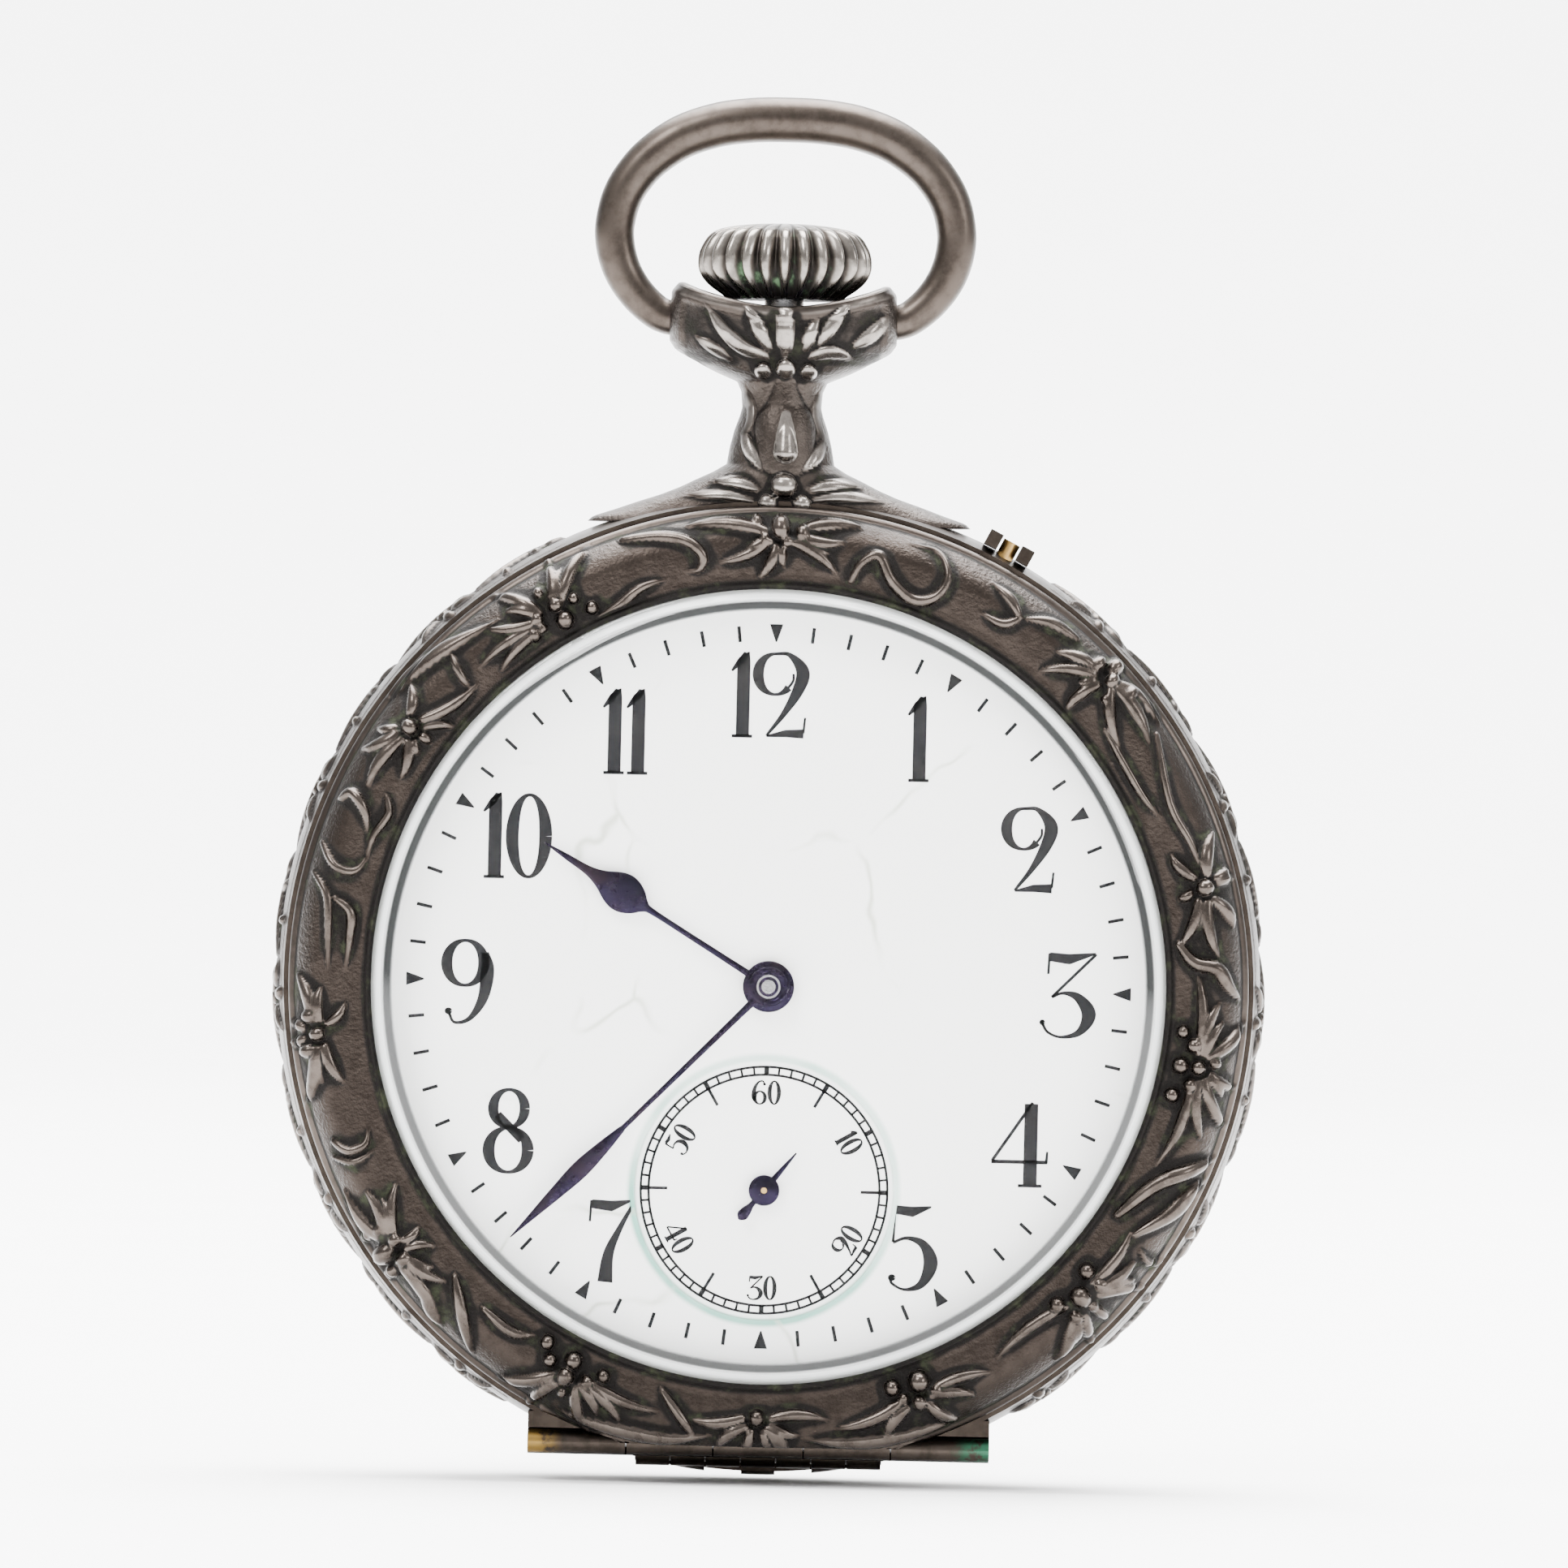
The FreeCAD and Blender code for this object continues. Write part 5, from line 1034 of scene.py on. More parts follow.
    def back(self) -> bpy.types.Object:
        """A skin over the back cover's outer face, from its pole to its edge.

        Along the radius the face is flat to 15 mm and then climbs as a circle's arc to the
        rim; the embossing stands out of it along its normal.
        """
        low, _ = bench_box("back_cover")
        face = np.vstack([
            np.stack([np.linspace(0.4, 14.8, 44), np.zeros(44)], -1),
            smooth_line(np.array([(15.0, 0.0), (18.3, 0.2), (21.25, 0.95), (23.3, 1.95), (24.6, 3.1)]), 11),
        ])
        angles, rows = 760, len(face)
        angle = np.linspace(0, 2 * np.pi, angles, endpoint=False)[:, None]
        slope = np.gradient(face, axis=0)
        normal = np.stack([slope[:, 1], -slope[:, 0]], -1) / np.linalg.norm(slope, axis=1)[:, None]
        plan = np.stack([face[:, 0] * np.cos(angle), face[:, 0] * np.sin(angle)], -1)
        fade = np.clip((24.3 - face[:, 0]) / 0.5, 0, 1)
        height = np.minimum(emboss(plan.reshape(-1, 2), self.wreath()).reshape(angles, rows) * 0.8,
                            0.34) * fade
        height = height + 0.10 * np.exp(-(((face[:, 0] - 8.2) / 0.28) ** 2)) + 0.12 * np.exp(-(((face[:,
            0] - 23.6) / 0.3) ** 2))
        off = 0.02 + height
        r = face[:, 0] + normal[:, 0] * off
        z = face[:, 1] + normal[:, 1] * off + low[2]
        outer = np.stack([r * np.cos(angle), r * np.sin(angle), z], -1)
        lining = (face - normal * 0.12)[np.linspace(rows - 1, 0, 9).astype(int)]
        inner_r = np.broadcast_to(lining[:, 0], (angles, len(lining)))
        inner = np.stack([inner_r * np.cos(angle), inner_r * np.sin(angle),
                          np.broadcast_to(lining[:, 1] + low[2], inner_r.shape)], -1)
        rings = np.concatenate([outer, inner], 1).transpose(1, 0, 2)
        # Painted shade with oxide in the hollows of the wreath; relief lightens the flowers and sprays as
        # wear from rubbing and painted highlight.
        deep = np.concatenate([hollows(height, 3), np.zeros_like(inner_r)], 1).T
        relief = np.concatenate([height / 0.3, np.zeros_like(inner_r)], 1).clip(0, 1).T
        piece = bench_mesh("back_embossing", [capped(rings)],
                           {"relief": relief.ravel(), "hollow_shade_and_oxide": deep.ravel()})
        return self.dresser.dress(piece, Finish.BACK, "back_cover", "embossed_silver")

    def build(self) -> None:
        """Makes the skins."""
        self.band()
        self.back()


# ---------------------------------------------------------------- pendant, bow, crown

# Width, then (across, up) points of each leaf; beads as (across, up, radius).
PENDANT_LEAVES = (
    (1.05, ((0.12, 32.2), (0.1, 33.3), (0.06, 34.7))),
    (0.85, ((-0.75, 32.4), (-1.25, 33.3), (-1.85, 34.4))),
    (0.8, ((-0.85, 31.9), (-2.05, 32.35), (-3.1, 33.2), (-4.0, 34.5))),
    (0.6, ((-2.8, 31.8), (-3.75, 32.4), (-4.6, 32.95))),
    (0.75, ((1.2, 32.4), (1.4, 33.1), (1.85, 33.9))),
    (0.8, ((1.9, 32.7), (2.6, 33.7), (3.2, 34.6))),
    (0.8, ((3.8, 32.6), (4.7, 33.3), (5.4, 34.2))),
    (0.75, ((1.5, 31.95), (2.5, 32.2), (3.7, 31.9))),
    (0.7, ((-1.85, 28.0), (-1.5, 27.1), (-0.85, 26.1))),
    (0.7, ((2.1, 27.6), (1.7, 26.8), (1.0, 26.1))),
    (0.7, ((-1.2, 25.2), (-2.2, 25.55), (-3.5, 25.6))),
    (0.7, ((1.6, 25.2), (2.8, 25.55), (4.3, 25.5))),
    (0.6, ((-1.4, 24.6), (-3.0, 24.9), (-5.0, 24.85))),
    (0.6, ((1.7, 24.7), (3.4, 24.95), (5.4, 24.7))),
    (0.5, ((-1.95, 30.4), (-1.5, 29.0), (-2.1, 27.4))),
    (0.5, ((2.1, 30.4), (1.7, 29.0), (2.4, 27.4))),
)
PENDANT_BEADS = ((-0.97, 31.2, 0.46), (0.17, 31.35, 0.56), (1.31, 31.2, 0.46), (0.2, 25.4, 0.72),
                 (-0.6, 24.5, 0.5), (1.1, 24.5, 0.5))


@dataclass
class Pendant:
    """The cast pendant: a flared foot, a neck and a saddle-shaped head with a recess.

    Attributes:
        centre: height of the stem's axis.
        sides: points round each section.
    """

    dresser: Dresser
    centre: float = 7.1
    sides: int = 288

    def outline(self, y: Array) -> tuple[Array, Array, Array]:
        """Half width, half depth and squareness of the section at each height."""
        wide = np.array([(23.4, 9.8), (23.7, 9.5), (24.1, 8.3), (24.5, 7.2), (24.9, 6.0), (25.3, 5.05),
                         (25.7, 4.25), (26.1, 3.4), (26.5, 2.75), (27.4, 2.6), (28.2, 2.4), (29.0, 2.12),
                         (29.4, 2.02), (30.2, 2.08), (30.7, 2.3), (31.07, 3.2), (31.5, 4.15), (31.9, 4.95),
                         (32.3, 5.5), (32.7, 5.78), (33.5, 5.84), (34.6, 5.8), (35.2, 5.68), (35.6, 5.4),
                         (35.8, 5.1)])
        deep = np.array([(23.4, 2.6), (24.9, 2.65), (25.7, 2.6), (26.5, 2.35), (28.0, 2.2), (29.4, 1.95),
                         (30.7, 2.1), (31.5, 2.75), (32.3, 3.35), (33.2, 3.65), (34.5, 3.7), (35.8, 3.6)])
        square = np.interp(y, [23.4, 25.5, 27, 30.5, 32.5, 35.8], [2.6, 2.3, 2.0, 2.0, 2.5, 2.7])
        return np.interp(y, wide[:, 0], wide[:, 1]), np.interp(y, deep[:, 0], deep[:, 1]), square

    def build(self) -> bpy.types.Object:
        """Stacks superellipse sections along the height and turns in over the saddle rim.

        At angle a the outline is (w |cos a|^(2/n), d |sin a|^(2/n)). The top of the wall
        dips from the ears to the front and back by 1.25 (1 - |cos a|^1.3). The wall then turns
        in, falls as a bowl to a bore and closes at the foot. Leaves, beads and a bud stand
        out of the front and the back.

        Returns:
            The finished piece.
        """
        _, high = bench_box("pendant")
        lift = high[1] - 35.8
        a = np.linspace(0, 2 * np.pi, self.sides, endpoint=False)
        top = 35.8 - 1.25 * (1 - np.abs(np.cos(a)) ** 1.3)
        t = np.linspace(0, 1, 120)
        y = 23.45 + (top[:, None] - 0.22 - 23.45) * t[None, :]
        w, d, n = self.outline(y)
        ca, sa = np.cos(a)[:, None], np.sin(a)[:, None]
        ex, ez = np.sign(ca) * np.abs(ca) ** (2 / n), np.sign(sa) * np.abs(sa) ** (2 / n)
        x, z = w * ex, d * ez
        strokes = [line_stroke(points, width, 1.0) for width,
                   points in PENDANT_LEAVES] + [bead(*b) for b in PENDANT_BEADS]
        bud = (np.array([(0.18, 30.5), (0.2, 29.4), (0.2, 28.3), (0.22, 27.2), (0.22, 26.4)]),
               np.array([0.55, 0.95, 1.55, 1.45, 0.8]), 0.42)
        drop = (np.array([(0.2, 29.0), (0.22, 28.0), (0.22, 27.1)]), np.array([0.25, 0.45, 0.58]), 1.55)
        plan = np.stack([x, y], -1).reshape(-1, 2)
        front = np.clip(np.abs(sa) * 1.6 - 0.25, 0, 1)
        leaves = emboss(plan, strokes + [drop]).reshape(x.shape) * front
        height = np.maximum(leaves, emboss(plan, [bud]).reshape(x.shape) * front * 0.8)
        rim = np.exp(-(((top[:, None] - 0.45 - y) / 0.30) ** 2)) * 0.22
        field = np.clip((y - 31.2) / 0.5, 0, 1) * np.clip((top[:, None] - 0.8 - y) / 0.2, 0,
            1) * np.clip((5.3 - np.abs(x)) / 0.3, 0, 1) * 0.2
        swell = height + rim * 0.6 - field
        size = np.sqrt(x**2 + z**2)
        x, z = x + swell * x / size * 0.6, z + swell * z / size
        outer = np.stack([x, y, z], -1)
        steps = ((0.06, 0.0), (0.2, 0.04), (0.36, 0.03), (0.5, -0.06), (0.6, -0.25))
        edge = [np.stack([x[:, -1] * (1 - s / size[:, -1]), top - 0.14 + rise,
                          z[:, -1] * (1 - s / size[:, -1])], -1) for s, rise in steps]
        ring = np.stack([np.cos(a), np.sin(a)], -1)
        wall = np.stack([edge[-1][:, 0], edge[-1][:, 2]], -1)
        bowl = []
        for s in np.linspace(0.1, 1, 10):
            flat = wall * (1 - s) + ring * 1.35 * s
            level = edge[-1][:, 1] * (1 - s) ** 1.4 + 33.3 * (1 - (1 - s) ** 1.4)
            bowl.append(np.stack([flat[:, 0], level, flat[:, 1]], -1))
        bore = [np.stack([ring[:, 0] * 1.35, np.full(self.sides, h), ring[:, 1] * 1.35], -1) for h in (31.0,
            27.5, 23.45)]
        points = np.concatenate([outer, np.stack(edge + bowl + bore, 1)], 1)
        points[..., 1] += lift
        points[..., 2] += self.centre
        extra = points.shape[1] - outer.shape[1]
        # Painted shade with oxide: darker in the hollows among the leaves, in the sunk field of the head and
        # inside the bowl and bore; relief lightens the leaves and the rim as wear from rubbing and painted
        # highlight.
        deep = np.hstack([np.clip(hollows(height, 3) + field * 2.4 * np.clip(1 - leaves / 0.06, 0, 1), 0,
                                  1), np.zeros((self.sides, extra))])
        deep[:, -len(bowl + bore) :] = 0.85
        relief = np.hstack([np.clip(leaves / 0.36 + rim * 2, 0, 1), np.full((self.sides, extra), 0.5)])
        piece = bench_mesh("pendant_form", [looped(points)],
                           {"relief": relief.ravel(), "hollow_shade_and_oxide": deep.ravel()})
        return self.dresser.dress(piece, Finish.PENDANT, "case", "pendant_silver", "pendant")


@dataclass
class Bow:
    """The oval bow: a wire, thick at the top and tapered to its two pivots.

    Attributes:
        centre: height of the stem's axis.
        half: across, up and radius along the right half, pivot first.
    """

    dresser: Dresser
    centre: float = 7.1
    half: tuple[tuple[float, ...], ...] = (
        (4.75, 33.9, 0.68), (5.3, 33.9, 0.70), (5.5, 33.9, 0.84), (5.9, 33.96, 0.88), (6.5, 34.22, 0.89),
        (7.3, 34.9, 0.92),
        (7.95, 35.72, 0.95), (8.4, 36.6, 0.98), (8.66, 37.6, 1.0), (8.7, 38.6, 1.01), (8.42, 39.9, 1.03),
        (7.85, 41.0, 1.05),
        (6.9, 42.1, 1.08), (5.4, 43.15, 1.12), (3.6, 43.8, 1.14), (1.8, 44.08, 1.15),
    )

    def build(self) -> bpy.types.Object:
        """Carries a circle along the oval: centre line plus r (cos b N + sin b Z).

        N is the line's normal in the oval's plane and Z the watch's depth.

        Returns:
            The finished piece.
        """
        _, high = bench_box("bow")
        right = np.array(self.half)
        line = smooth_line(np.vstack([right, [(0.0, 44.14, 1.15)], right[::-1] * (-1, 1, 1)]), 9)
        line[:, 1] += high[1] - 45.29
        way = np.gradient(line[:, :2], axis=0)
        way /= np.linalg.norm(way, axis=1)[:, None]
        b = np.linspace(0, 2 * np.pi, 36, endpoint=False)
        r = line[:, 2:3]
        points = np.stack([
            line[:, :1] + r * np.cos(b) * -way[:, 1:2],
            line[:, 1:2] + r * np.cos(b) * way[:, :1],
            self.centre + r * np.sin(b),
        ], -1)
        piece = bench_mesh("bow_wire", [capped(points)])
        return self.dresser.dress(piece, Finish.BOW, "bow", "pendant_silver", "bow")


@dataclass
class Crown:
    """The onion crown: lobed ribs, full near the top and thin at the foot.

    Attributes:
        centre: height of the stem's axis.
        ribs: number of ribs.
    """

    dresser: Dresser
    centre: float = 7.1
    ribs: int = 26

    def build(self) -> bpy.types.Object:
        """Turns the outline about the stem and cuts the grooves between the ribs.

        The radius at angle a and height y is R(y) - g(y) (1 - |cos(ribs a / 2)|^p(y)),
        where the power p falls from foot to top so that the lobes fill out.

        Returns:
            The finished piece.
        """
        _, high = bench_box("crown")
        shape = smooth_line(np.array([(34.9, 1.2), (34.9, 2.0), (34.93, 2.85), (35.2, 3.3), (35.55, 3.8),
                                      (35.95, 4.2), (36.4, 4.42), (36.9, 4.45), (37.3, 4.38), (37.7, 4.2),
                                      (38.1, 3.92), (38.48, 3.4), (38.72, 2.6), (38.85, 1.6), (38.88, 0.8),
                                      (38.9, 0.15)]), 5)
        y, radius = shape[:, 0], shape[:, 1]
        depth = np.interp(radius, [0.8, 2.2, 3.2, 4.45], [0.0, 0.3, 0.46, 0.55]) * np.where(y < 34.95, 0.4,
            1)
        power = np.interp(y, [34.9, 35.8, 37.0, 38.9], [4.5, 2.6, 1.1, 0.8])
        a = np.linspace(0, 2 * np.pi, self.ribs * 16, endpoint=False)
        lobe = np.abs(np.cos(self.ribs * a / 2))[None, :] ** power[:, None]
        r = radius[:, None] - depth[:, None] * (1 - lobe)
        level = y + (high[1] - 38.75) * (y - 34.9) / 4.0 - 0.12 * np.clip((y - 38.3) / 0.5, 0, 1)
        points = np.stack([r * np.sin(a), np.broadcast_to(level[:, None], r.shape),
                           self.centre + r * np.cos(a)], -1)
        # Painted shade with oxide and green salts in the grooves between the ribs; relief lightens the ribs
        # as wear from rubbing and painted highlight.
        deep = np.clip((1 - lobe) * 0.9 * np.interp(y, [35.5, 37.0, 38.9], [1.0, 0.72, 0.6])[:, None], 0,
                       1) ** 2
        piece = bench_mesh("crown_fluted", [capped(points)],
                           {"relief": np.clip(lobe, 0, 1).ravel(), "hollow_shade_and_oxide": deep.ravel()})
        return self.dresser.dress(piece, Finish.CROWN, "winding_stem", "pendant_silver", "crown")


# ---------------------------------------------------------------- dial


def oval(x: float, y: float, rx: float, ry: float, thick: float, thin: float, start: float = 0.0,
         end: float = 360.0) -> Array:
    """A pen's oval: thick where it runs upright and thin where it runs across.

    Args:
        x: centre across.
        y: centre up.
        rx: half width.
        ry: half height.
        thick: half width of the upright parts.
        thin: half width of the level parts.
        start: first angle in degrees.
        end: last angle in degrees.

    Returns:
        Points and half widths of shape (n, 3).
    """
    t = np.radians(np.linspace(start, end, max(8, int(abs(end - start) / 10))))
    return np.stack([x + rx * np.cos(t), y + ry * np.sin(t),
                     thin + (thick - thin) * np.abs(np.cos(t)) ** 1.6], -1)


def pen(*points: tuple[float, float, float]) -> Array:
    """A pen's smooth line through points that each carry a half width."""
    return smooth_line(np.array(points), 6)


def bar(*points: tuple[float, float, float]) -> Array:
    """A pen's straight line between points that each carry a half width."""
    return np.array(points, float)


def wide(lines: list[Array], share: float) -> list[Array]:
    """Pen lines stretched across by a share."""
    return [line * (share, 1, 1) for line in lines]


def figure_shapes() -> dict[str, tuple[float, list[Array]]]:
    """The ten figures, 4.3 high about their middle, as an advance and pen lines."""
    fat, hair = 0.32, 0.055
    ball = oval(-0.64, -1.5, 0.05, 0.05, 0.1, 0.1)
    bowl = pen((-0.62, 0.28, 0.05), (-0.1, 0.52, 0.07), (0.5, 0.2, 0.2), (0.78, -0.75, 0.34),
               (0.45, -1.8, 0.18), (-0.15, -2.09, 0.05), (-0.62, -1.8, 0.045), (-0.68, -1.5, 0.05))
    nine = [oval(-0.06, 0.95, 0.68, 1.14, 0.26, hair),
            pen((0.66, 1.5, 0.16), (0.76, 0.6, 0.32), (0.62, -0.8, 0.24), (0.15, -1.85, 0.1),
                (-0.4, -2.07, 0.05), (-0.62, -1.6, 0.05)), ball]
    return {
        "0": (2.2, [oval(0, 0, 0.85, 2.08, 0.3, hair)]),
        "1": (1.12, [bar((0.02, -2.1, 0.31), (0.02, 1.7, 0.31), (0.17, 2.12, 0.13)),
                     bar((-0.52, -2.1, hair), (0.52, -2.1, hair)),
                     bar((0.3, 2.16, 0.02), (-0.1, 1.75, 0.16), (-0.58, 1.2, 0.03))]),
        "2": (2.7, [oval(-0.35, 1.07, 0.88, 1.03, 0.26, 0.045, 85, 320),
                    pen((0.32, 0.4, 0.04), (0.55, 0.75, 0.04), (0.56, 1.1, 0.03)),
                    pen((-0.35, 2.1, 0.05), (0.35, 2.05, 0.1), (1.02, 1.25, 0.31), (0.82, 0.3, 0.27),
                        (0.1, -0.95, 0.12), (-0.75, -2.05, 0.04)), bar((-0.75, -2.08, 0.02),
                            (0.2, -1.93, 0.16), (1.13, -1.93, 0.21)), bar((1.12, -1.9, 0.04),
                                (1.2, -1.1, 0.03))]),
        "3": (2.7, [bar((-1.0, 1.93, 0.2), (0.0, 1.82, 0.24), (1.35, 2.13, 0.02)),
                    bar((-1.0, 2.1, 0.04), (-1.05, 1.05, 0.035)),
                    bar((1.37, 2.1, 0.05), (-0.85, -0.12, 0.05)),
                    pen((-0.85, -0.12, 0.04), (-0.25, 0.1, 0.06), (0.5, -0.12, 0.2), (1.05, -0.95, 0.34),
                        (0.6, -1.85, 0.16), (-0.3, -2.13, 0.05), (-1.0, -1.9, 0.045), (-1.32, -1.42, 0.05)),
                        oval(-1.3, -1.4, 0.04, 0.04, 0.08, 0.08)]),
        "4": (3.0, [bar((0.62, 2.12, hair), (-1.38, -0.85, hair)),
                    bar((-1.42, -0.9, 0.07), (1.4, -0.9, 0.07)), bar((0.55, -2.05, fat), (0.55, 2.05, fat)),
                    bar((-0.05, -2.1, hair), (1.15, -2.1, hair)),
                    bar((1.36, -0.95, hair), (1.4, -0.35, 0.03))]),
        "5": (2.7, [bar((-0.72, 1.95, 0.2), (0.1, 1.85, 0.24), (1.05, 2.12, 0.02)),
                    bar((-0.86, 2.0, hair), (-0.86, 0.3, 0.05)), *wide([bowl, ball], 1.38)]),
        "6": (2.7, [line * (-1.38, -1, 1) for line in nine]),
        "7": (2.7, [bar((-1.0, 1.9, 0.2), (0.0, 1.8, 0.25), (1.15, 2.1, 0.03)),
                    bar((-1.02, 2.08, 0.04), (-1.08, 1.0, 0.035)),
                    pen((1.17, 2.05, 0.05), (0.45, 0.7, 0.12), (-0.1, -0.6, 0.24), (-0.25, -2.05, 0.36))]),
        "8": (2.7, wide([oval(0, 1.13, 0.58, 0.95, 0.24, hair), oval(0, -0.98, 0.72, 1.12, 0.28, hair),
                         bar((-0.42, 0.8, 0.2), (0.5, -0.45, 0.2))], 1.38)),
        "9": (2.7, wide(nine, 1.38)),
    }


@dataclass
class Print:
    """Printed marks: thin closed plates that stand a little proud of the enamel.

    Attributes:
        level: height of the enamel.
        proud: thickness of the print above it.
        parts: marks made so far, as points and faces.
    """

    level: float
    proud: float = 0.02
    parts: list[tuple[Array, Array]] = field(default_factory=list)

    def ribbon(self, line: Array, place: tuple[float, float] = (0, 0), scale: float = 1.0,
               turn: float = 0.0, keep_off: tuple[float, float, float] | None = None) -> None:
        """A flat ribbon: at each point the section runs half a width to each side.

        Args:
            line: points and half widths of shape (n, 3).
            place: where its origin goes.
            scale: size of the figure.
            turn: turn in degrees, clockwise.
            keep_off: centre and radius of a circle that the ribbon is cut by.
        """
        way = np.gradient(line[:, :2], axis=0)
        way /= np.maximum(np.linalg.norm(way, axis=1), 1e-9)[:, None]
        side = np.stack([-way[:, 1], way[:, 0]], -1) * line[:, 2:3]
        a = math.radians(-turn)
        spin = np.array([[math.cos(a), math.sin(a)], [-math.sin(a), math.cos(a)]])
        left, right = (((line[:, :2] + k * side) * scale) @ spin + place for k in (1, -1))
        if keep_off:
            middle, room = np.array(keep_off[:2]), keep_off[2]
            for edge in (left, right):
                away = edge - middle
                far = np.linalg.norm(away, axis=1)[:, None]
                edge[:] = np.where(far < room, middle + away / far * room, edge)
        low, high = self.level - 0.01, self.level + self.proud
        corners = [np.column_stack([edge, np.full(len(edge), z)]) for edge,
                   z in ((left, low), (right, low), (right, high), (left, high))]
        self.parts.append(capped(np.stack(corners, 1)))

    def number(self, text: str, place: tuple[float, float], height: float, turn: float = 0.0,
               keep_off: tuple[float, float, float] | None = None, weight: float = 0.0) -> None:
        """Sets a number about its middle, upright or turned clockwise, its lines made heavier by a weight."""
        shapes, scale = figure_shapes(), height / 4.3
        width = sum(shapes[c][0] + 3 * weight for c in text)
        x, a = -width / 2, math.radians(-turn)
        for c in text:
            advance, lines = shapes[c][0] + 3 * weight, shapes[c][1]
            middle = (x + advance / 2) * scale
            spot = (place[0] + middle * math.cos(a), place[1] + middle * math.sin(a))
            for line in lines:
                self.ribbon(line + (0, 0, weight), spot, scale, turn, keep_off)
            x += advance

    def ring(self, centre: tuple[float, float], radius: float, half: float) -> None:
        """A thin circle line."""
        t = np.linspace(0, 2 * np.pi, 180, endpoint=False)
        wall = [(radius - half, -0.01), (radius + half, -0.01), (radius + half, self.proud),
                (radius - half, self.proud)]
        rings = np.stack([np.column_stack([centre[0] + r * np.cos(t), centre[1] + r * np.sin(t),
                                           np.full(len(t), self.level + z)]) for r, z in wall], 1)
        self.parts.append(looped(rings))

    def ray(self, centre: tuple[float, float], turn: float, start: float, end: float, half: float,
            tip: float | None = None) -> None:
        """A mark along a radius at a clockwise turn from twelve."""
        a = math.radians(turn)
        x, y = math.sin(a), math.cos(a)
        self.ribbon(np.array([(x * start, y * start, half if tip is None else tip),
                              (x * end, y * end, half)]), centre)

    def piece(self, name: str, dresser: Dresser) -> bpy.types.Object:
        """Makes the marks one piece on the case."""
        return dresser.dress(bench_mesh(name, self.parts, smooth=False), Finish.INK, "case", "enamel")


@dataclass
class Dial:
    """The enamel dial's printing: hours, minute marks and the seconds track.

    Attributes:
        hours: figure and middle of each hour; the sixth gives way to the seconds dial.
        numeral: height of an hour figure.
    """

    dresser: Dresser
    hours: tuple[tuple[str, float, float], ...] = (
        ("12", -0.25, 14.75), ("1", 7.35, 12.7), ("2", 13.1, 7.2), ("3", 15.2, -0.1), ("4", 12.9, -7.7),
        ("5", 7.45, -13.1),
        ("7", -7.7, -13.1), ("8", -13.0, -7.6), ("9", -15.3, -0.1), ("10", -12.9, 7.35),
        ("11", -7.5, 12.75),
    )
    numeral: float = 4.3

    def build(self) -> None:
        """Prints the dial and the seconds dial."""
        _, dial = bench_box("dial")
        low, small = bench_box("seconds_dial")
        middle = ((low[0] + small[0]) / 2, (low[1] + small[1]) / 2)
        face = Print(dial[2])
        for text, x, y in self.hours:
            face.number(text, (x, y), self.numeral, keep_off=(*middle, 6.78), weight=0.025)
        for k in range(60):
            if k % 5:
                face.ray((0, 0), 6.0 * k, 17.5, 18.3, 0.085)
            else:
                face.ray((0, 0), 6.0 * k, 17.45, 18.35, 0.34, 0.03)
        face.piece("dial_print", self.dresser)
        track = Print(small[2])
        track.ring(middle, 5.85, 0.06)
        track.ring(middle, 6.25, 0.06)
        for k in range(60):
            track.ray(middle, 6.0 * k, 5.85, 6.25, 0.12 if k % 5 == 0 else 0.055)
            if k % 10 == 5:
                track.ray(middle, 6.0 * k, 4.9, 5.9, 0.075)
        for text, turn in (("60", 0), ("10", 60), ("20", 120), ("30", 180), ("40", 240), ("50", 300)):
            a = math.radians(turn)
            lean = 0 if turn in (0, 180) else (turn if turn < 90 or turn > 270 else turn + 180)
            track.number(text, (middle[0] + 4.95 * math.sin(a), middle[1] + 4.95 * math.cos(a)), 1.2, lean,
                         weight=0.08)
        track.piece("seconds_print", self.dresser)


# ---------------------------------------------------------------- hands


@dataclass
class Hand:
    """A hand: a blade of domed section on a round hub.

    Attributes:
        name: name of the piece.
        node: CAD hand that it replaces.
        body: body that it rides on.
        turn: direction in degrees, clockwise from twelve.
        blade: distance and half width of each station, tail first.
        hub: outline of the hub as radius and height above the blade's foot.
        thick: thickness of the blade.
        axis: place that the hand turns about.
    """

    dresser: Dresser
    name: str
    node: str
    body: str
    turn: float
    blade: tuple[tuple[float, float], ...]
    hub: tuple[tuple[float, float], ...]
    thick: float = 0.18
    axis: tuple[float, float] = (0.0, 0.0)

    def build(self) -> bpy.types.Object:
        """Lofts the blade and turns the hub.

        At distance s the blade's section is w cos b across and a half dome
        t (0.5 + 0.5 sin b)^0.7 high.

        Returns:
            The finished piece.
        """
        _, high = bench_box(self.node)
        foot = high[2] - self.thick
        a = math.radians(self.turn)
        ahead, right = np.array([math.sin(a), math.cos(a)]), np.array([math.cos(a), -math.sin(a)])
        line = smooth_line(np.array(self.blade), 6)
        b = np.linspace(0, 2 * np.pi, 20, endpoint=False)
        plan = np.array(self.axis) + line[:, None, :1] * ahead + (line[:, 1:2] * np.cos(b))[...,
            None] * right
        rise = foot + self.thick * np.clip(0.5 + 0.5 * np.sin(b), 0,
                                           1) ** 0.7 * np.clip(0.55 + line[:, 1:2] * 0.9, 0.4, 1)
        blade = np.concatenate([plan, rise[..., None]], -1)
        t = np.linspace(0, 2 * np.pi, 64, endpoint=False)
        hub = np.stack([np.column_stack([self.axis[0] + r * np.cos(t), self.axis[1] + r * np.sin(t),
                                         np.full(64, foot + z)]) for r, z in self.hub])
        piece = bench_mesh(self.name, [capped(blade), capped(hub)])
        return self.dresser.dress(piece, Finish.BLUED, self.body, "blued_steel", self.node)


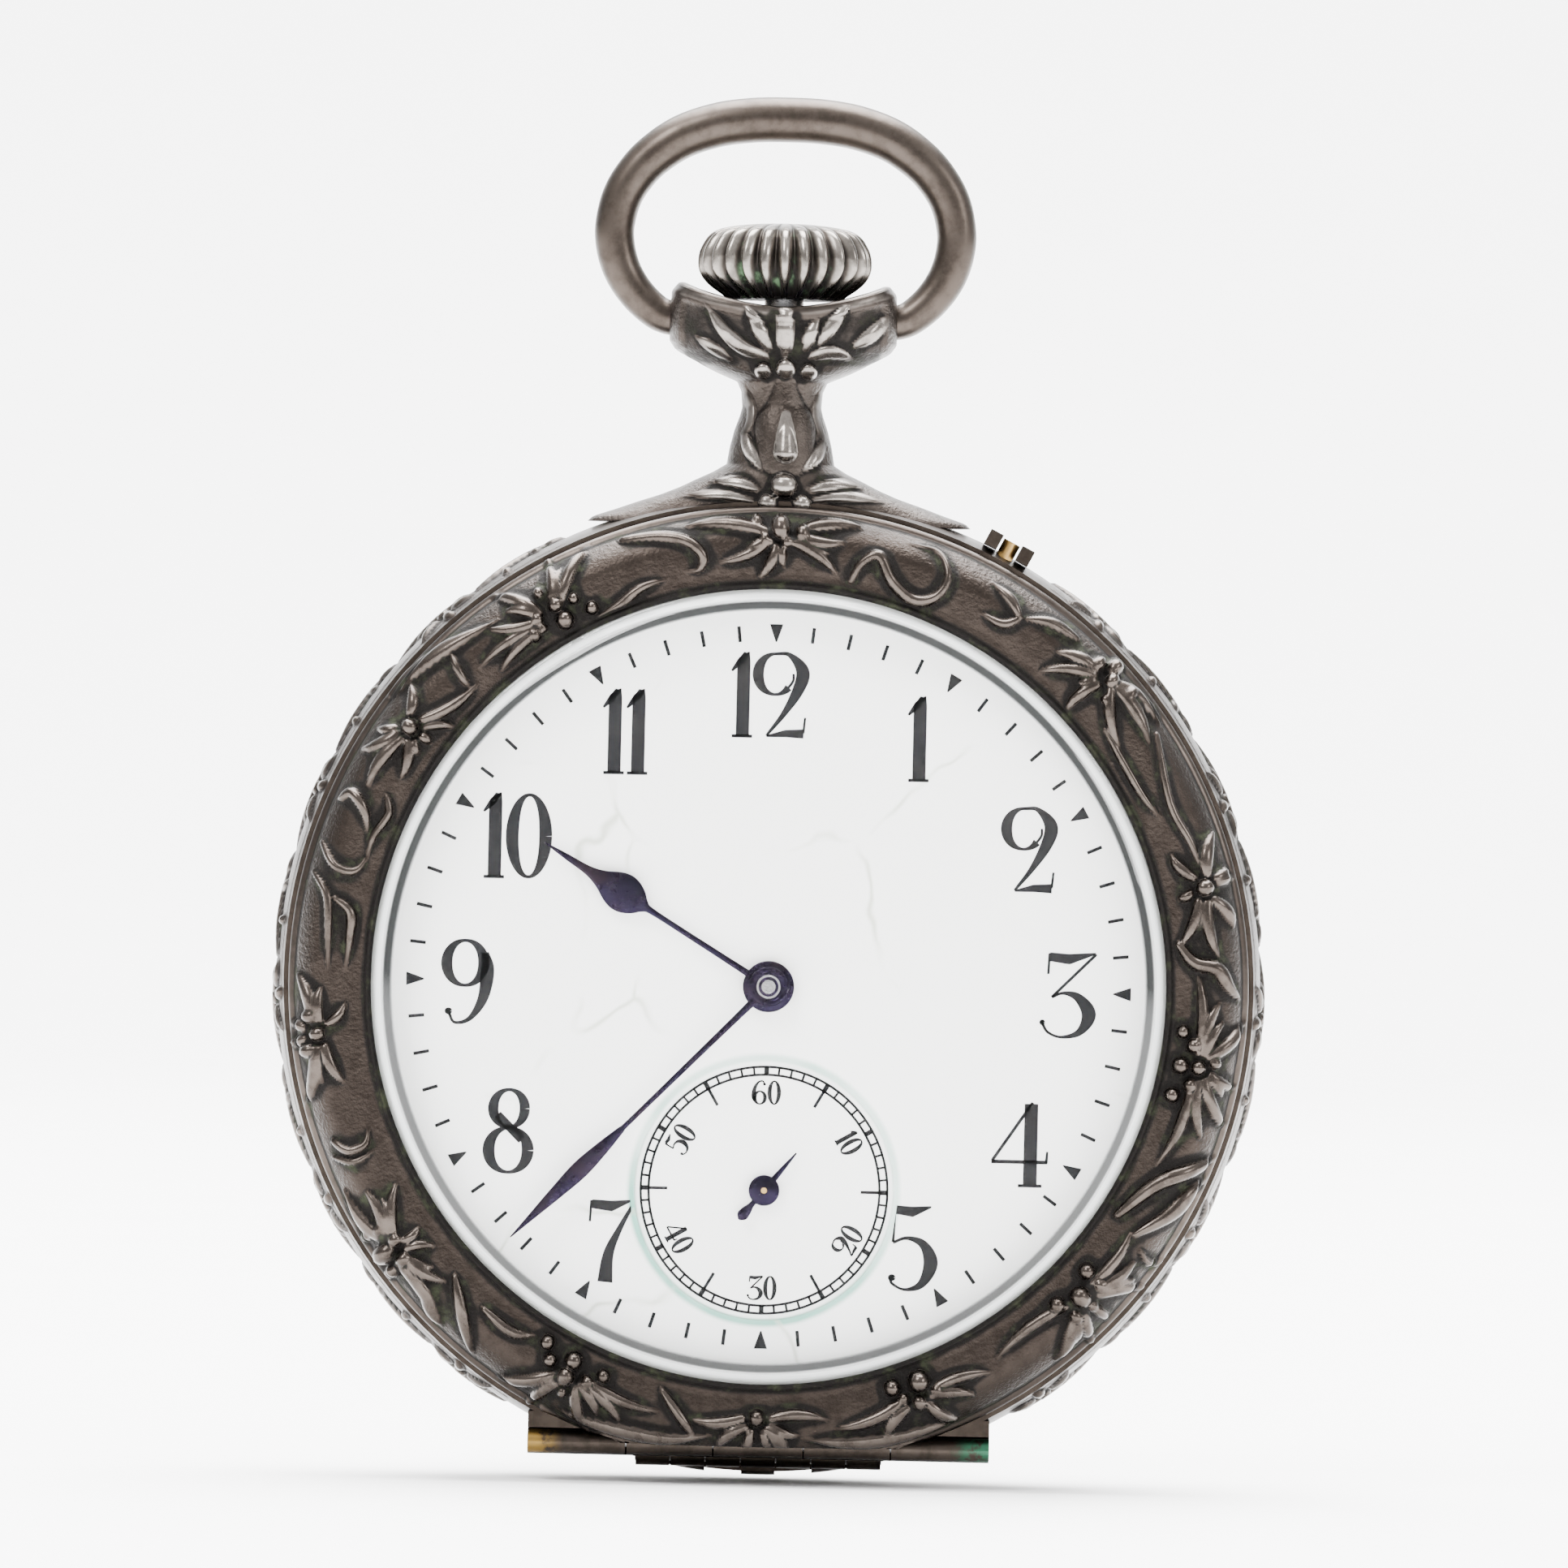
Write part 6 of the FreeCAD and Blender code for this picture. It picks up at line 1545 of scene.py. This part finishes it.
# Blades as (distance, half width), tail first; hubs as (radius, height above the foot).
HOUR_BLADE = ((0.4, 0.2), (1.5, 0.17), (4.0, 0.15), (6.9, 0.16), (7.45, 0.3), (7.8, 0.62), (8.3, 0.9),
              (8.85, 0.99), (9.4, 0.84), (10.1, 0.47), (10.9, 0.24), (12.2, 0.15), (13.5, 0.03))
HOUR_HUB = ((0.2, 0.0), (1.22, 0.0), (1.3, 0.04), (1.3, 0.13), (1.2, 0.18), (0.2, 0.18))
MINUTE_BLADE = ((0.3, 0.22), (1.2, 0.19), (3.0, 0.16), (9.6, 0.13), (10.4, 0.18), (11.7, 0.34),
                (13.3, 0.45), (15.0, 0.33), (16.8, 0.16), (18.2, 0.03))
MINUTE_HUB = ((0.2, 0.0), (0.94, 0.0), (1.0, 0.04), (1.0, 0.13), (0.92, 0.18), (0.74, 0.18), (0.7, 0.11),
              (0.54, 0.11), (0.5, 0.19), (0.2, 0.19))
SECONDS_BLADE = ((-1.95, 0.06), (-1.7, 0.28), (-1.3, 0.24), (-0.9, 0.14), (0.0, 0.17), (1.2, 0.13),
                 (2.5, 0.04))
SECONDS_HUB = ((0.1, 0.0), (0.74, 0.0), (0.78, 0.03), (0.78, 0.10), (0.7, 0.14), (0.1, 0.14))


def watch_hands(dresser: Dresser) -> list[Hand]:
    """The three hands; each hub is a ring about the CAD's own arbor."""
    low, high = bench_box("seconds_dial")
    small = ((low[0] + high[0]) / 2, (low[1] + high[1]) / 2)
    return [
        Hand(dresser, "hour_hand_form", "hour_hand", "hour", 301.5, HOUR_BLADE, HOUR_HUB),
        Hand(dresser, "minute_hand_form", "minute_hand", "centre", 224.6, MINUTE_BLADE, MINUTE_HUB),
        Hand(dresser, "seconds_hand_form", "seconds_hand", "fourth", 39.7, SECONDS_BLADE, SECONDS_HUB, 0.14,
             small),
    ]


# ---------------------------------------------------------------- CAD nodes

SLOT_FINISH = {
    "case_silver": Finish.CASE,
    "embossed_silver": Finish.CASE,
    "pendant_silver": Finish.CASE,
    "glass": Finish.GLASS,
    "enamel": Finish.ENAMEL,
    "blued_steel": Finish.BLUED,
    "steel": Finish.STEEL,
    "brass": Finish.BRASS,
    "gilt": Finish.GILT,
    "ruby": Finish.RUBY,
}
NODE_FINISH = {"cuvette": Finish.INNER, "front_case_knuckles": Finish.HINGE, "bezel_knuckles": Finish.HINGE,
               "push_piece": Finish.BRASS, "centre_wheel": Finish.GILT, "fourth_wheel": Finish.GILT,
               "third_wheel": Finish.GILT, "hairspring": Finish.BLUED}


def dress_nodes(frame: dict, dresser: Dresser) -> None:
    """Gives every CAD node the finish of its material slot, or its own."""
    slots = {part["node"]: part["material_slot"] for part in frame["record"]["subparts"]}
    for name, node in frame["nodes"].items():
        finish = NODE_FINISH.get(name) or SLOT_FINISH[slots.get(name, "steel")]
        dresser.dress_node(node, finish)
    LOG.info("%d nodes dressed", len(frame["nodes"]))


# ---------------------------------------------------------------- studio


@dataclass
class Studio:
    """A pale sweep, soft lights and a long camera square to the dial.

    Attributes:
        width: metres that the picture is wide in the framed plane.
        depth: place of the framed plane along Y.
        lens: focal length in millimetres.
        sensor: width of the camera's sensor in millimetres.
        roll: turn of the camera about its own axis in degrees.
        aim: place of the picture's middle along X and Z.
    """

    width: float = 0.0795
    depth: float = -0.010
    lens: float = 300.0
    sensor: float = 36.0
    roll: float = 1.3
    aim: tuple[float, float] = (0.00055, 0.01027)

    def sweep(self, floor: float) -> None:
        """Floor that climbs behind the watch along a quarter circle.

        Args:
            floor: height of the floor in metres.
        """
        t = np.linspace(0, np.pi / 2, 24)
        depth = np.concatenate([[-2.5], 0.9 + 0.6 * np.sin(t), [1.5]])
        height = np.concatenate([[0], 0.6 * (1 - np.cos(t)), [2.6]]) + floor
        across = np.array([-3.0, 3.0])
        points = [(x, d, h) for x in across for d, h in zip(depth, height)]
        count = len(depth)
        faces = [(k, k + count, k + count + 1, k + 1) for k in range(count - 1)]
        mesh = bpy.data.meshes.new("sweep")
        mesh.from_pydata(points, [], faces)
        mesh.polygons.foreach_set("use_smooth", np.full(len(faces), True))
        piece = bpy.data.objects.new("sweep", mesh)
        bpy.context.scene.collection.objects.link(piece)
        kit = Kit("paper")
        grain = kit.noise(40.0, 3.0)
        mesh.materials.append(kit.finish({"Base Color": kit.mix(grain, (0.9, 0.9, 0.9), (0.86, 0.86, 0.86)),
                                          "Roughness": 0.8 + grain * 0.1, "Specular IOR Level": 0.1}))
        piece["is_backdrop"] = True

    def lamp(self, name: str, place: tuple[float, float, float], size: float, power: float) -> None:
        """A soft square light that faces the watch."""
        data = bpy.data.lights.new(name, "AREA")
        data.size, data.energy = size, power
        lamp = bpy.data.objects.new(name, data)
        lamp.location = place
        aim = -lamp.location.normalized()
        lamp.rotation_euler = aim.to_track_quat("-Z", "Y").to_euler()
        bpy.context.scene.collection.objects.link(lamp)

    def build(self) -> None:
        """Sets the sweep, the world, the lights and the camera."""
        low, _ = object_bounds()
        self.sweep(low[2] - 0.0002)
        world = bpy.data.worlds.new("studio")
        world.use_nodes = True
        tree = world.node_tree
        ways = tree.nodes.new("ShaderNodeTexCoord")
        split = tree.nodes.new("ShaderNodeSeparateXYZ")
        rise = tree.nodes.new("ShaderNodeMapRange")
        rise.interpolation_type = "SMOOTHSTEP"
        for key, value in ((1, -0.1), (2, 0.7), (3, 0.95), (4, 1.9)):
            rise.inputs[key].default_value = value
        tree.links.new(ways.outputs["Generated"], split.inputs[0])
        tree.links.new(split.outputs["Z"], rise.inputs[0])
        tree.links.new(rise.outputs[0], tree.nodes["Background"].inputs["Strength"])
        tree.nodes["Background"].inputs["Color"].default_value = (1, 1, 1, 1)
        bpy.context.scene.world = world
        self.lamp("key", (-0.45, -0.55, 0.75), 0.35, 13.0)
        self.lamp("fill", (0.75, -0.45, 0.35), 0.30, 5.0)
        self.lamp("top", (0.05, 0.15, 0.9), 0.5, 10.0)
        self.lamp("wall", (0.0, 0.35, 1.3), 1.4, 170.0)
        camera = bpy.data.cameras.new("camera")
        camera.lens, camera.sensor_width, camera.clip_start = self.lens, self.sensor, 0.01
        eye = bpy.data.objects.new("camera", camera)
        away = self.width * self.lens / self.sensor
        eye.location = (self.aim[0], self.depth - away, self.aim[1])
        eye.rotation_euler = (math.pi / 2, 0.0, 0.0)
        eye.rotation_mode = "XYZ"
        eye.rotation_euler.rotate_axis("Z", math.radians(self.roll))
        bpy.context.scene.collection.objects.link(eye)
        bpy.context.scene.camera = eye


def corners(box: tuple) -> list[list[float]]:
    """A box's two corners as plain lists."""
    return [[float(v) for v in corner] for corner in box]


def main() -> None:
    """Builds the watch's visual pieces in order and dresses the CAD nodes."""
    logging.basicConfig(level=logging.INFO, format="%(name)s: %(message)s")
    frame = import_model()
    dresser = Dresser()
    dress_nodes(frame, dresser)
    Bezel(dresser).build()
    CaseEmbossing(dresser).build()
    Pendant(dresser).build()
    Bow(dresser).build()
    Crown(dresser).build()
    Dial(dresser).build()
    for hand in watch_hands(dresser):
        hand.build()
    Studio().build()


if __name__ == "__main__":
    main()
